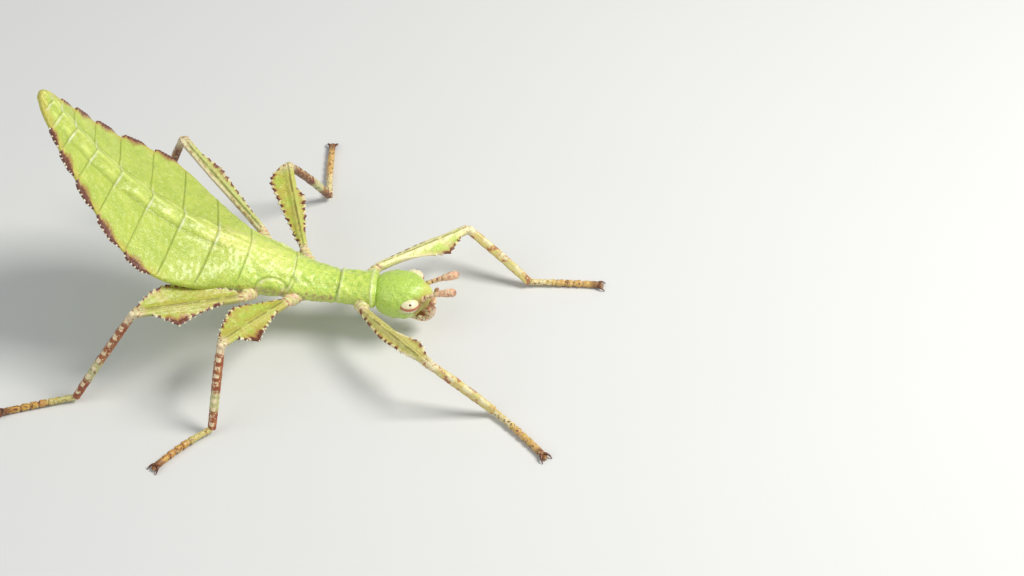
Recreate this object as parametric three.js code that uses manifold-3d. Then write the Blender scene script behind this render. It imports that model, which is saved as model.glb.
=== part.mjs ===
// A leaf insect nymph at life size, standing on its six feet with its abdomen curled up.
// Millimetres, +X towards the head, +Y to the insect's left, +Z up.
// The trunk is one master surface along the line of the back, parted at the real seams.

import * as THREE from 'three';
import Module from 'manifold-3d';

const wasm = await Module();
wasm.setup();

// Driving dimensions

const GAP = 0.3; // clear space between neighbouring pieces
const WAIST_HEIGHT = 11.6; // the ridge of the back above the floor where the abdomen begins
const LAMELLA = 0.56; // thickness of the leaf-like edges of the abdomen and legs

// Seams of the trunk from front to back. run: length along the back from the seam before it.
// pitch: rise of the back towards the rear, degrees. half: half-width. drop: how far the edge
// lies below the ridge. depth: thickness at the middle. round: 1 a round section, 0 a leaf.
// sweep: how far the seam trails at the edges. band: half-width of the raised middle band.
const SEAMS = [
  { run: 0.0, pitch: 12, half: 1.5, drop: 1.3, depth: 2.6, round: 1.0, sweep: 0.0, band: 2.0 },
  { run: 6.1, pitch: -5, half: 2.3, drop: 1.6, depth: 3.2, round: 1.0, sweep: 0.0, band: 2.0 },
  { run: 3.9, pitch: 5, half: 2.2, drop: 1.5, depth: 3.0, round: 1.0, sweep: 0.1, band: 2.0 },
  { run: 5.1, pitch: 25, half: 3.15, drop: 1.9, depth: 3.7, round: 0.95, sweep: 0.2, band: 2.4 },
  { run: 5.6, pitch: 25, half: 4.55, drop: 2.6, depth: 4.7, round: 0.8, sweep: 0.15, band: 3.0 },
  { run: 3.95, pitch: 27, half: 6.9, drop: 2.4, depth: 4.1, round: 0.45, sweep: 0.6, band: 2.6 },
  { run: 4.2, pitch: 35, half: 8.45, drop: 1.9, depth: 3.3, round: 0.15, sweep: 0.55, band: 2.1 },
  { run: 4.2, pitch: 42, half: 8.05, drop: 1.6, depth: 2.7, round: 0.0, sweep: 0.55, band: 1.8 },
  { run: 4.5, pitch: 49, half: 6.15, drop: 1.3, depth: 2.3, round: 0.0, sweep: 0.5, band: 1.6 },
  { run: 3.9, pitch: 55, half: 4.6, drop: 1.0, depth: 2.0, round: 0.0, sweep: 0.5, band: 1.3 },
  { run: 3.5, pitch: 58, half: 3.3, drop: 0.8, depth: 1.8, round: 0.0, sweep: 0.4, band: 1.1 },
  { run: 2.5, pitch: 60, half: 2.3, drop: 0.6, depth: 1.6, round: 0.1, sweep: 0.3, band: 0.9 },
  { run: 1.9, pitch: 60, half: 1.55, drop: 0.45, depth: 1.3, round: 0.3, sweep: 0.2, band: 0.7 },
  { run: 1.5, pitch: 58, half: 0.6, drop: 0.25, depth: 0.8, round: 0.6, sweep: 0.0, band: 0.4 },
];
const WAIST_SEAM = 4; // the seam that stands at x = 0

// Trunk pieces in order, with the number of rings each is lofted through and its edge lobe.
const TRUNK = [
  { name: 'head', rings: 9, lobe: 0 },
  { name: 'pronotum', rings: 6, lobe: 0 },
  { name: 'mesothorax', rings: 7, lobe: 0 },
  { name: 'metathorax', rings: 7, lobe: 0 },
  { name: 'abdomen_2', rings: 5, lobe: 0 },
  { name: 'abdomen_3', rings: 6, lobe: 0 },
  { name: 'abdomen_4', rings: 10, lobe: 0.45 },
  { name: 'abdomen_5', rings: 10, lobe: 0.55 },
  { name: 'abdomen_6', rings: 10, lobe: 0.5 },
  { name: 'abdomen_7', rings: 9, lobe: 0.4 },
  { name: 'abdomen_8', rings: 6, lobe: 0.2 },
  { name: 'abdomen_9', rings: 5, lobe: 0 },
  { name: 'abdomen_10', rings: 5, lobe: 0 },
];

// Half a section of the trunk, as shares of the half-width from the middle to the edge.
const ACROSS = [0, 0.2, 0.45, 0.7, 0.9, 1];
// shoulder: the share of a leaf's drop that falls away within its band. trail: the power by
// which a seam trails. keel: the half-width of the thick middle, in bands.
const SECTION = { shoulder: 0.35, trail: 1.6, keel: 1.7 };
// A segment's edge lobe by shares of the segment: where it starts and is full, where the notch
// behind it starts, and how much of the lobe the notch takes away.
const LOBE = { from: 0.12, full: 0.5, notchFrom: 0.86, notch: 0.75 };
const COLLAR = 0.12; // how much wider the pronotum is at either end, twice that in front

// Head. crown: where it is widest, from its front. reach: from there to either end.
// tuck: how far the back of the head dips as it narrows, as a share of the depth lost.
// square and blunt: the powers that shape its outline from above.
const HEAD = {
  half: 2.92, depth: 4.7, crown: 3.2, reach: 3.55, tuck: 0.45, square: 2.6, blunt: 0.45,
};
// Eyes: place, half-sizes and how far each turns out, degrees.
const EYE = { along: 17.9, out: 2.2, up: 6.25, length: 1.05, height: 0.72, width: 0.75, turn: 14 };
const EYE_FACETS = { sides: 12, rows: 7 };
// Feelers and palps. club: how much thicker the tip is.
// waist and bulge: the thin and thick rings of the joints. end: the blunt last ring.
const FEELER = { sides: 6, clubFrom: 0.55, clubFull: 0.9, waist: 0.86, bulge: 1.08, end: 0.55 };
const ANTENNA = {
  root: [18.3, 1.0, 6.2], elbow: [20.5, 1.05, 7.4], tip: [23.1, 1.45, 8.05],
  radius: 0.28, joints: 8, club: 1.75,
};
const PALP = {
  root: [18.6, 1.2, 3.3], elbow: [20.4, 1.85, 3.3], tip: [20.55, 1.4, 5.5],
  radius: 0.27, joints: 5, club: 1.15,
};
// Mouthparts: place and half-sizes of the upper lip, a jaw and the lower lip.
const MOUTH = {
  lip: { at: [20.1, 0, 5.0], size: [0.5, 0.7, 0.85] },
  jaw: { at: [19.7, 0.5, 4.1], size: [0.7, 0.45, 0.8] },
  under: { at: [18.7, 0, 2.75], size: [1.5, 0.9, 0.55] },
};
const MOUTH_FACETS = { sides: 8, rows: 6 };
// Blunt warts along the side of the mesothorax.
const WART = {
  count: 6, from: 10.6, to: 14.6, size: 0.3, small: 0.8, stand: 0.12, below: 0.1,
  sides: 5, rows: 4,
};

// Legs. root: inside the thorax. hip: coxa to femur. knee, ankle, toe: the joints in order.
// bow: how far the foot bends sideways. shin: half-width of the tibia at its middle.
// face: the way the leaf-like femur looks.
// fore and aft: the femur's two lobes by their width, the shares of the femur where each starts,
// peaks and ends, and the powers that shape its rise and fall.
const LEGS = {
  front_right: {
    root: [12.4, -1.5, 5.5], hip: [12.85, -3.3, 5.9], knee: [21.46, -11.59, 7.0],
    ankle: [28.47, -11.95, 0.72], toe: [34.5, -17.5, 0.42], bow: 0.3, shin: 0.52,
    face: [0, -0.35, 0.93],
    fore: { width: 0.75, start: 0.46, peak: 0.7, end: 0.88, rise: 0.9, fall: 2.0 },
    aft: { width: 0.85, start: 0.0, peak: 0.4, end: 0.85, rise: 0.8, fall: 1.4 },
  },
  front_left: {
    root: [12.8, 1.5, 5.6], hip: [13.4, 3.3, 6.1], knee: [22.93, 10.71, 6.0],
    ankle: [30.26, 8.16, 0.72], toe: [38.3, 8.86, 0.42], bow: 0.3, shin: 0.55,
    face: [0, 0, 1],
    fore: { width: 2.0, start: 0.2, peak: 0.67, end: 0.9, rise: 1.8, fall: 1.1 },
    aft: { width: 0.3, start: 0.1, peak: 0.45, end: 0.8, rise: 1.0, fall: 1.5 },
  },
  middle_right: {
    root: [5.1, -2.1, 6.4], hip: [4.3, -4.05, 6.95], knee: [-0.97, -13.69, 10.0],
    ankle: [-1.93, -17.89, 0.72], toe: [-7.05, -23.57, 0.42], bow: -0.7, shin: 0.48,
    face: [0, -0.35, 0.93],
    fore: { width: 1.85, start: 0.15, peak: 0.66, end: 0.79, rise: 1.6, fall: 0.9 },
    aft: { width: 2.3, start: 0.0, peak: 0.55, end: 0.98, rise: 0.75, fall: 1.4 },
  },
  middle_left: {
    root: [5.9, 1.9, 6.8], hip: [5.1, 4.1, 7.35], knee: [1.53, 15.08, 9.8],
    ankle: [5.25, 19.75, 0.72], toe: [4.15, 28.75, 0.42], bow: 0.3, shin: 0.46,
    face: [0, 0, 1],
    fore: { width: 0.7, start: 0.15, peak: 0.58, end: 0.7, rise: 1.2, fall: 1.5 },
    aft: { width: 1.85, start: 0.04, peak: 0.76, end: 1.0, rise: 1.0, fall: 2.2 },
  },
  hind_right: {
    root: [0.4, -3.1, 7.6], hip: [-0.3, -5.35, 8.6], knee: [-10.68, -12.01, 12.0],
    ankle: [-17.76, -14.9, 0.72], toe: [-25.4, -17.7, 0.42], bow: -0.3, shin: 0.48,
    face: [0, -0.35, 0.93],
    fore: { width: 1.9, start: 0.15, peak: 0.65, end: 0.84, rise: 1.7, fall: 0.8 },
    aft: { width: 2.25, start: 0.0, peak: 0.6, end: 0.96, rise: 0.6, fall: 1.9 },
  },
  hind_left: {
    root: [0.9, 2.9, 8.3], hip: [0.15, 5.3, 8.75], knee: [-10.14, 13.7, 14.0],
    ankle: [-14.8, 16.2, 0.72], toe: [-21.0, 20.6, 0.42], bow: 0.3, shin: 0.46,
    face: [0, 0, 1],
    fore: { width: 0.75, start: 0.12, peak: 0.62, end: 0.8, rise: 1.2, fall: 1.0 },
    aft: { width: 0.1, start: 0.2, peak: 0.6, end: 0.9, rise: 1.0, fall: 1.0 },
  },
};
// Coxa: radii, where it starts to narrow, and its waist before the trochanter.
const COXA = {
  root: 0.95, hip: 0.62, from: 0.35, waist: 0.88, waistAt: 0.75, waistReach: 0.13,
  steps: 5, sides: 8,
};
// Femur: half-width of its stem at the middle and how that tapers from knee to root, its
// half-thickness at root, middle and knee, and the shares of its length between them.
const FEMUR = {
  stem: 0.47, atRoot: 0.88, atKnee: 1.12, root: 0.55, middle: 0.42, knee: 0.5,
  thinBy: 0.6, thickFrom: 0.8,
};
// Tibia: its thickness at either end as shares of the leg's shin, and where it is full.
const TIBIA = { knee: 0.98, ankle: 0.88, fullFrom: 0.3, fullTo: 0.6 };
const TIBIA_RINGS = [0, 0.09, 0.25, 0.5, 0.75, 0.92, 1]; // shares of its length
const RIB = 0.72; // where the ridge of a limb's section turns into its sides, and how high
const TOOTH = { pitch: 0.9, height: 0.24, least: 0.2 }; // least: the lobe reach that bears teeth
// Tarsus: its joints by shares of its length, radii at the joints' middles and ends, how much
// higher than wide it is, and where it bends.
const TARSUS = {
  joints: [0, 0.4, 0.53, 0.65, 0.77, 1], radius: 0.4, waist: 0.3, arch: 1.05, bend: 0.45, sides: 6,
};
const PAD = { length: 0.55, width: 0.42, height: 0.3, ahead: 0.25, up: 0.28, sides: 6, rows: 4 };
const CLAW = {
  length: 0.95, root: 0.24, tip: 0.07, splay: 0.42, rise: 0.16, floor: 0.1,
  bendAlong: 0.6, bendOut: 0.8, steps: 3, sides: 4,
};

// Colours

const COLOURS = {
  abdomen: 0xa9c94e, thorax: 0xb5d160, head: 0x8fbf45, eye: 0xe9d9b0, antenna: 0xdfae90,
  femur: 0xb9bc58, tibia: 0xa96f4d, tarsus: 0xb08a4c, coxa: 0xd9c79c, mouth: 0xc9a87c,
};

// Small helpers

const vector = ([x, y, z]) => new THREE.Vector3(x, y, z);
const radians = THREE.MathUtils.degToRad;
const mix = THREE.MathUtils.lerp;
const smooth = THREE.MathUtils.smoothstep;

/** A closed geometry from rings of equal count; strip caps join the two halves of a leaf ring. */
function loft(rings, stripCaps = false) {
  const count = rings[0].length;
  const points = rings.flat();
  const faces = [];
  for (let ring = 0; ring + 1 < rings.length; ring += 1) {
    for (let side = 0; side < count; side += 1) {
      const next = (side + 1) % count;
      const a = ring * count + side;
      const b = ring * count + next;
      faces.push(a, b, b + count, a, b + count, a + count);
    }
  }
  const last = (rings.length - 1) * count;
  if (stripCaps) {
    for (let side = 0; side < count / 2 - 1; side += 1) {
      const across = count - 1 - side;
      faces.push(side, across, across - 1, side, across - 1, side + 1);
      faces.push(last + side, last + across - 1, last + across);
      faces.push(last + side, last + side + 1, last + across - 1);
    }
  } else {
    for (const [start, flip] of [[0, true], [last, false]]) {
      const middle = new THREE.Vector3();
      for (let side = 0; side < count; side += 1) {
        middle.addScaledVector(points[start + side], 1 / count);
      }
      points.push(middle);
      for (let side = 0; side < count; side += 1) {
        const a = start + side;
        const b = start + (side + 1) % count;
        faces.push(points.length - 1, flip ? b : a, flip ? a : b);
      }
    }
  }
  const geometry = new THREE.BufferGeometry().setFromPoints(points);
  geometry.setIndex(faces);
  return geometry;
}

/** The solid of a closed geometry. */
function solid(geometry) {
  const vertProperties = new Float32Array(geometry.attributes.position.array);
  const triVerts = new Uint32Array(geometry.index.array);
  return new wasm.Manifold(new wasm.Mesh({ numProp: 3, vertProperties, triVerts }));
}

/** The geometry of a solid's largest closed surface. */
function surface(whole) {
  const pieces = whole.decompose();
  const largest = pieces.reduce((a, b) => (a.volume() > b.volume() ? a : b));
  const { vertProperties, triVerts } = largest.getMesh();
  const geometry = new THREE.BufferGeometry();
  geometry.setAttribute('position', new THREE.BufferAttribute(vertProperties, 3));
  geometry.setIndex(new THREE.BufferAttribute(triVerts, 1));
  return geometry;
}

/** A copy of a geometry with every vertex moved out along its normal. */
function grown(geometry, distance) {
  const copy = geometry.clone();
  copy.computeVertexNormals();
  const { position, normal } = copy.attributes;
  for (let i = 0; i < position.count; i += 1) {
    position.setXYZ(
      i,
      position.getX(i) + distance * normal.getX(i),
      position.getY(i) + distance * normal.getY(i),
      position.getZ(i) + distance * normal.getZ(i),
    );
  }
  copy.deleteAttribute('normal');
  return copy;
}

/** A closed tube through a curve with a radius that varies along it. */
function tube(curve, radiusAt, steps, sides) {
  const frames = curve.computeFrenetFrames(steps, false);
  const rings = [];
  for (let step = 0; step <= steps; step += 1) {
    const share = step / steps;
    const centre = curve.getPointAt(share);
    const radius = radiusAt(share);
    const ring = [];
    for (let side = 0; side < sides; side += 1) {
      const angle = (2 * Math.PI * (side + 0.5)) / sides;
      ring.push(centre.clone()
        .addScaledVector(frames.normals[step], radius * Math.cos(angle))
        .addScaledVector(frames.binormals[step], radius * Math.sin(angle)));
    }
    rings.push(ring);
  }
  return loft(rings);
}

/** A ball with its own half-sizes, as a closed indexed geometry. */
function ellipsoid([along, out, up], sides, rows) {
  const rings = [];
  for (let row = 1; row < rows; row += 1) {
    const tilt = (Math.PI * row) / rows;
    const ring = [];
    for (let side = 0; side < sides; side += 1) {
      const angle = (2 * Math.PI * side) / sides;
      ring.push(new THREE.Vector3(
        -along * Math.cos(tilt),
        out * Math.sin(tilt) * Math.cos(angle),
        up * Math.sin(tilt) * Math.sin(angle),
      ));
    }
    rings.push(ring);
  }
  const geometry = loft(rings);
  const { position } = geometry.attributes;
  position.setXYZ(position.count - 2, -along, 0, 0);
  position.setXYZ(position.count - 1, along, 0, 0);
  return geometry;
}

// The line of the back

/** How far along the back each seam lies. */
function seamLengths() {
  const start = SEAMS.map(() => 0);
  for (let i = 1; i < SEAMS.length; i += 1) {
    start[i] = start[i - 1] + SEAMS[i].run;
  }
  return start;
}
const SEAM_AT = seamLengths();

/** A seam quantity anywhere along the back, smooth through the seams. */
function along(key, at) {
  const last = SEAMS.length - 1;
  let i = 0;
  while (i < last - 1 && at > SEAM_AT[i + 1]) {
    i += 1;
  }
  const t = (at - SEAM_AT[i]) / SEAMS[i + 1].run;
  const value = (k) => SEAMS[THREE.MathUtils.clamp(k, 0, last)][key];
  const slope = (k) => {
    const a = THREE.MathUtils.clamp(k - 1, 0, last);
    const b = THREE.MathUtils.clamp(k + 1, 0, last);
    return ((value(b) - value(a)) / (SEAM_AT[b] - SEAM_AT[a])) * SEAMS[i + 1].run;
  };
  const t2 = t * t;
  const t3 = t2 * t;
  return (2 * t3 - 3 * t2 + 1) * value(i) + (t3 - 2 * t2 + t) * slope(i)
    + (3 * t2 - 2 * t3) * value(i + 1) + (t3 - t2) * slope(i + 1);
}

const STEP = 0.05; // walking step along the back

/** The ridge point at a length along the back, with the back's direction and its normal. */
function ridge(at) {
  const from = SEAM_AT[WAIST_SEAM];
  const steps = Math.max(1, Math.round(Math.abs(at - from) / STEP));
  const walk = (at - from) / steps;
  const point = new THREE.Vector3(0, 0, WAIST_HEIGHT);
  for (let i = 0; i < steps; i += 1) {
    const pitch = radians(along('pitch', from + (i + 0.5) * walk));
    point.x -= walk * Math.cos(pitch);
    point.z += walk * Math.sin(pitch);
  }
  const pitch = radians(along('pitch', at));
  return { point, up: new THREE.Vector3(Math.sin(pitch), 0, Math.cos(pitch)) };
}

/** How much wider than its seams a segment's edge is: a lobe behind a plain front third. */
function lobe(share) {
  return smooth(share, LOBE.from, LOBE.full) * (1 - LOBE.notch * smooth(share, LOBE.notchFrom, 1));
}

/** The section at a length along the back, for one trunk piece. */
function section(piece, index, at) {
  const share = (at - SEAM_AT[index]) / SEAMS[index + 1].run;
  const size = {};
  for (const key of ['half', 'drop', 'depth', 'round', 'sweep', 'band']) {
    size[key] = along(key, at);
  }
  size.round = THREE.MathUtils.clamp(size.round, 0, 1);
  size.crest = 0;
  if (piece.name === 'head') {
    const bulge = (1 - Math.abs((at - HEAD.crown) / HEAD.reach) ** HEAD.square) ** HEAD.blunt;
    size.half = HEAD.half * bulge;
    size.depth = HEAD.depth * bulge;
    size.drop = size.depth / 2;
    size.crest = -HEAD.tuck * (HEAD.depth - size.depth);
    size.sweep = 0;
  }
  if (piece.name === 'pronotum') {
    size.half += COLLAR * (2 - share - Math.sin(Math.PI * share));
  }
  size.half += piece.lobe * lobe(share);
  return size;
}

/** One ring of the trunk, top from right to left and underside back again. */
function trunkRing(piece, index, at) {
  const size = section(piece, index, at);
  const lanes = [...ACROSS.slice(1).reverse().map((q) => -q), ...ACROSS];
  const top = [];
  const under = [];
  for (const q of lanes) {
    const reach = Math.abs(q);
    const bow = Math.sqrt(1 - q * q);
    const { point, up } = ridge(at + size.sweep * reach ** SECTION.trail);
    const rise = SECTION.shoulder * size.drop;
    const leaf = rise * smooth(reach * size.half, 0, size.band) + (size.drop - rise) * reach;
    const fall = size.round * size.drop * (1 - bow) + (1 - size.round) * leaf;
    const fromKeel = Math.min(1, (reach * size.half) / (SECTION.keel * size.band));
    const keel = Math.cos(0.5 * Math.PI * fromKeel) ** 2;
    const body = size.round * bow + (1 - size.round) * keel;
    const thick = LAMELLA + (size.depth - LAMELLA) * body;
    const side = new THREE.Vector3(0, q * size.half, 0);
    top.push(point.clone().add(side).addScaledVector(up, size.crest - fall));
    under.push(point.clone().add(side).addScaledVector(up, size.crest - fall - thick));
  }
  return [...top, ...under.reverse()];
}

/** One trunk piece, set back from its seams by half the gap. */
function trunkPiece(piece, index) {
  const from = SEAM_AT[index] + (index > 0 ? GAP / 2 : 0);
  const to = SEAM_AT[index + 1] - GAP / 2;
  const rings = [];
  for (let ring = 0; ring < piece.rings; ring += 1) {
    rings.push(trunkRing(piece, index, mix(from, to, ring / (piece.rings - 1))));
  }
  return loft(rings, true);
}

// Limbs

/** The frame of a limb: X along it, Z the way its leaf looks, Y across the leaf. */
function limbFrame(from, to, face) {
  const axis = to.clone().sub(from).normalize();
  const look = face.clone().addScaledVector(axis, -face.dot(axis)).normalize();
  const across = look.clone().cross(axis);
  return new THREE.Matrix4().makeBasis(axis, across, look).setPosition(from);
}

/** A limb through its stations, its ends slid onto the planes that halve each joint. */
function limb(stations, length, startNormal, endNormal) {
  const rings = stations.map(({ x, fore, aft, thick }) => {
    const edge = Math.min(thick, LAMELLA / 2);
    const stem = Math.min(FEMUR.stem, RIB * fore, RIB * aft);
    const lanes = [[fore, edge], [stem, RIB * thick], [0, thick], [-stem, RIB * thick], [-aft, edge]];
    const top = lanes.map(([y, z]) => new THREE.Vector3(x, y, z));
    const under = lanes.map(([y, z]) => new THREE.Vector3(x, y, -z)).reverse();
    return [...top, ...under];
  });
  const slide = (ring, normal, x) => {
    for (const point of ring) {
      point.x = x - (point.y * normal.y + point.z * normal.z) / normal.x;
    }
  };
  slide(rings[0], startNormal, GAP / 2 / startNormal.x);
  slide(rings[rings.length - 1], endNormal, length - GAP / 2 / endNormal.x);
  return loft(rings, true);
}

/** A lobe's reach beyond the stem at a share of the femur. */
function leafEdge(part, share) {
  if (share <= part.start || share >= part.end) {
    return 0;
  }
  if (share < part.peak) {
    return part.width * ((share - part.start) / (part.peak - part.start)) ** part.rise;
  }
  return part.width * (1 - ((share - part.peak) / (part.end - part.peak)) ** part.fall);
}

/** Stations of a leaf-like femur with toothed edges. */
function femurStations(leg, length) {
  const teeth = Math.round(length / TOOTH.pitch);
  const stations = [];
  for (let i = 0; i <= 2 * teeth; i += 1) {
    const share = i / (2 * teeth);
    const tooth = i % 2 === 1 ? TOOTH.height : 0;
    const stem = FEMUR.stem * mix(FEMUR.atRoot, FEMUR.atKnee, share);
    const fore = leafEdge(leg.fore, share);
    const aft = leafEdge(leg.aft, share);
    const atEnd = i < 2 || i > 2 * teeth - 2;
    stations.push({
      x: share * length,
      fore: stem + fore + (fore > TOOTH.least && !atEnd ? tooth : 0),
      aft: stem + aft + (aft > TOOTH.least && !atEnd ? tooth : 0),
      thick: share < FEMUR.thinBy
        ? mix(FEMUR.root, FEMUR.middle, smooth(share, 0, FEMUR.thinBy))
        : mix(FEMUR.middle, FEMUR.knee, smooth(share, FEMUR.thickFrom, 1)),
    });
  }
  stations.splice(1, 1);
  stations.splice(stations.length - 2, 1);
  return stations;
}

/** Stations of a slim tibia. */
function tibiaStations(leg, length) {
  return TIBIA_RINGS.map((share) => {
    const half = share < TIBIA.fullTo
      ? mix(TIBIA.knee, 1, smooth(share, 0, TIBIA.fullFrom))
      : mix(1, TIBIA.ankle, smooth(share, TIBIA.fullTo, 1));
    const size = half * leg.shin;
    return { x: share * length, fore: size, aft: size, thick: size };
  });
}

/** A claw, a pointed hook that curves down to the floor. */
function claw(root, forward, side, sign) {
  const tip = root.clone().addScaledVector(forward, CLAW.length)
    .addScaledVector(side, sign * CLAW.splay);
  tip.z = CLAW.floor;
  const bend = root.clone().addScaledVector(forward, CLAW.bendAlong * CLAW.length)
    .addScaledVector(side, sign * CLAW.bendOut * CLAW.splay);
  bend.z += CLAW.rise;
  const curve = new THREE.QuadraticBezierCurve3(root, bend, tip);
  return tube(curve, (share) => mix(CLAW.root, CLAW.tip, share), CLAW.steps, CLAW.sides);
}

/** A foot of five joints with its pads flat on the floor, two claws and the pad between. */
function foot(leg, startNormal) {
  const ankle = vector(leg.ankle);
  const toe = vector(leg.toe);
  const run = toe.clone().sub(ankle);
  const side = new THREE.Vector3(-run.y, run.x, 0).normalize();
  const middle = ankle.clone().lerp(toe, TARSUS.bend).addScaledVector(side, leg.bow);
  middle.z = leg.toe[2];
  const curve = new THREE.QuadraticBezierCurve3(ankle, middle, toe);
  const shares = [];
  for (let i = 0; i + 1 < TARSUS.joints.length; i += 1) {
    const from = TARSUS.joints[i];
    const to = TARSUS.joints[i + 1];
    for (const part of i === 0 ? [0, 0.3, 0.85] : [0, 0.6]) {
      shares.push([mix(from, to, part), part === 0 && i > 0 ? TARSUS.waist : TARSUS.radius]);
    }
  }
  shares.push([1, TARSUS.waist]);
  const rings = shares.map(([share, radius]) => {
    const centre = curve.getPointAt(share);
    const across = new THREE.Vector3(0, 0, 1).cross(curve.getTangentAt(share)).normalize();
    const ring = [];
    for (let i = 0; i < TARSUS.sides; i += 1) {
      const angle = (2 * Math.PI * (i + 0.5)) / TARSUS.sides;
      const point = centre.clone().addScaledVector(across, radius * Math.cos(angle));
      point.z = Math.max(0, point.z + TARSUS.arch * radius * Math.sin(angle));
      ring.push(point);
    }
    return ring;
  });
  const axis = curve.getTangentAt(0);
  for (const point of rings[0]) {
    const off = point.clone().sub(ankle).dot(startNormal);
    point.addScaledVector(axis, (GAP / 2 - off) / axis.dot(startNormal));
  }
  const forward = curve.getTangentAt(1).setZ(0).normalize();
  const clawRoot = toe.clone().addScaledVector(forward, -PAD.ahead);
  const padAt = toe.clone().addScaledVector(forward, PAD.ahead);
  const pad = ellipsoid([PAD.length, PAD.width, PAD.height], PAD.sides, PAD.rows);
  pad.rotateZ(Math.atan2(forward.y, forward.x));
  pad.translate(padAt.x, padAt.y, PAD.up);
  const { position } = pad.attributes;
  for (let i = 0; i < position.count; i += 1) {
    position.setZ(i, Math.max(0, position.getZ(i)));
  }
  const sideways = new THREE.Vector3(-forward.y, forward.x, 0);
  let whole = solid(loft(rings)).add(solid(pad));
  for (const sign of [-1, 1]) {
    whole = whole.add(solid(claw(clawRoot, forward, sideways, sign)));
  }
  return surface(whole);
}

// Assembly

const insect = new THREE.Group();

/** Adds a named mesh, its geometry measured from its own place. */
function place(name, geometry, colour, at, parent = insect) {
  const material = new THREE.MeshStandardMaterial({ color: colour, roughness: 0.5, metalness: 0 });
  const mesh = new THREE.Mesh(geometry, material);
  mesh.name = name;
  geometry.translate(-at.x, -at.y, -at.z);
  mesh.position.copy(at);
  parent.add(mesh);
  return mesh;
}

const trunk = {};
TRUNK.forEach((piece, index) => {
  trunk[piece.name] = trunkPiece(piece, index);
});

// Eyes sit in sockets cut from the head.
let headSolid = solid(trunk.head);
for (const [side, sign] of [['left', 1], ['right', -1]]) {
  const centre = new THREE.Vector3(EYE.along, sign * EYE.out, EYE.up);
  const turn = radians(-sign * EYE.turn);
  const sizes = [EYE.length, EYE.width, EYE.height];
  const ball = ellipsoid(sizes, EYE_FACETS.sides, EYE_FACETS.rows);
  const socket = ellipsoid(sizes.map((size) => size + GAP), EYE_FACETS.sides, EYE_FACETS.rows);
  for (const shape of [ball, socket]) {
    shape.rotateZ(turn);
    shape.translate(centre.x, centre.y, centre.z);
  }
  headSolid = headSolid.subtract(solid(socket));
  place(`eye_${side}`, ball, COLOURS.eye, centre);
}

const headGrown = solid(grown(trunk.head, GAP));

/** A feeler or palp of ringed joints, rooted at the head. */
function feeler({ root, elbow, tip, radius, joints, club }, sign) {
  const [from, bend, to] = [root, elbow, tip].map(([x, y, z]) => new THREE.Vector3(x, sign * y, z));
  const curve = new THREE.QuadraticBezierCurve3(from, bend, to);
  const steps = 2 * joints;
  const radiusAt = (share) => {
    const step = Math.round(share * steps);
    const swell = mix(1, club, smooth(share, FEELER.clubFrom, FEELER.clubFull));
    const tipEnd = step === steps ? FEELER.end : 1;
    return radius * swell * tipEnd * (step % 2 === 0 ? FEELER.waist : FEELER.bulge);
  };
  return surface(solid(tube(curve, radiusAt, steps, FEELER.sides)).subtract(headGrown));
}

for (const [side, sign] of [['left', 1], ['right', -1]]) {
  for (const [part, sizes, colour] of [
    ['antenna', ANTENNA, COLOURS.antenna],
    ['palp', PALP, COLOURS.mouth],
  ]) {
    const [x, y, z] = sizes.root;
    place(`${part}_${side}`, feeler(sizes, sign), colour, new THREE.Vector3(x, sign * y, z));
  }
}

const headGeometry = surface(headSolid);
headGeometry.computeBoundingBox();
place('head', headGeometry, COLOURS.head, headGeometry.boundingBox.getCenter(new THREE.Vector3()));

/** A ball of the mouth at its own place, mirrored by sign. */
function mouthBall({ at, size }, sign = 1) {
  const ball = ellipsoid(size, MOUTH_FACETS.sides, MOUTH_FACETS.rows);
  ball.translate(at[0], sign * at[1], at[2]);
  return solid(ball);
}

const mouth = mouthBall(MOUTH.lip).add(mouthBall(MOUTH.under))
  .add(mouthBall(MOUTH.jaw)).add(mouthBall(MOUTH.jaw, -1)).subtract(headGrown);
const mouthGeometry = surface(mouth);
place('mouthparts', mouthGeometry, COLOURS.mouth, vector(MOUTH.lip.at));

// Coxae and femora are cut clear of the trunk beside them.
const TRUNK_BY_LEGS = ['pronotum', 'mesothorax', 'metathorax', 'abdomen_2', 'abdomen_3'];
const besideLegs = TRUNK_BY_LEGS.map((name) => grown(trunk[name], GAP));

/** A piece cut clear of the trunk, in the piece's own frame. */
function clearOfTrunk(geometry, toLocal = new THREE.Matrix4()) {
  let whole = solid(geometry);
  for (const neighbour of besideLegs) {
    whole = whole.subtract(solid(neighbour.clone().applyMatrix4(toLocal)));
  }
  return surface(whole);
}

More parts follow.
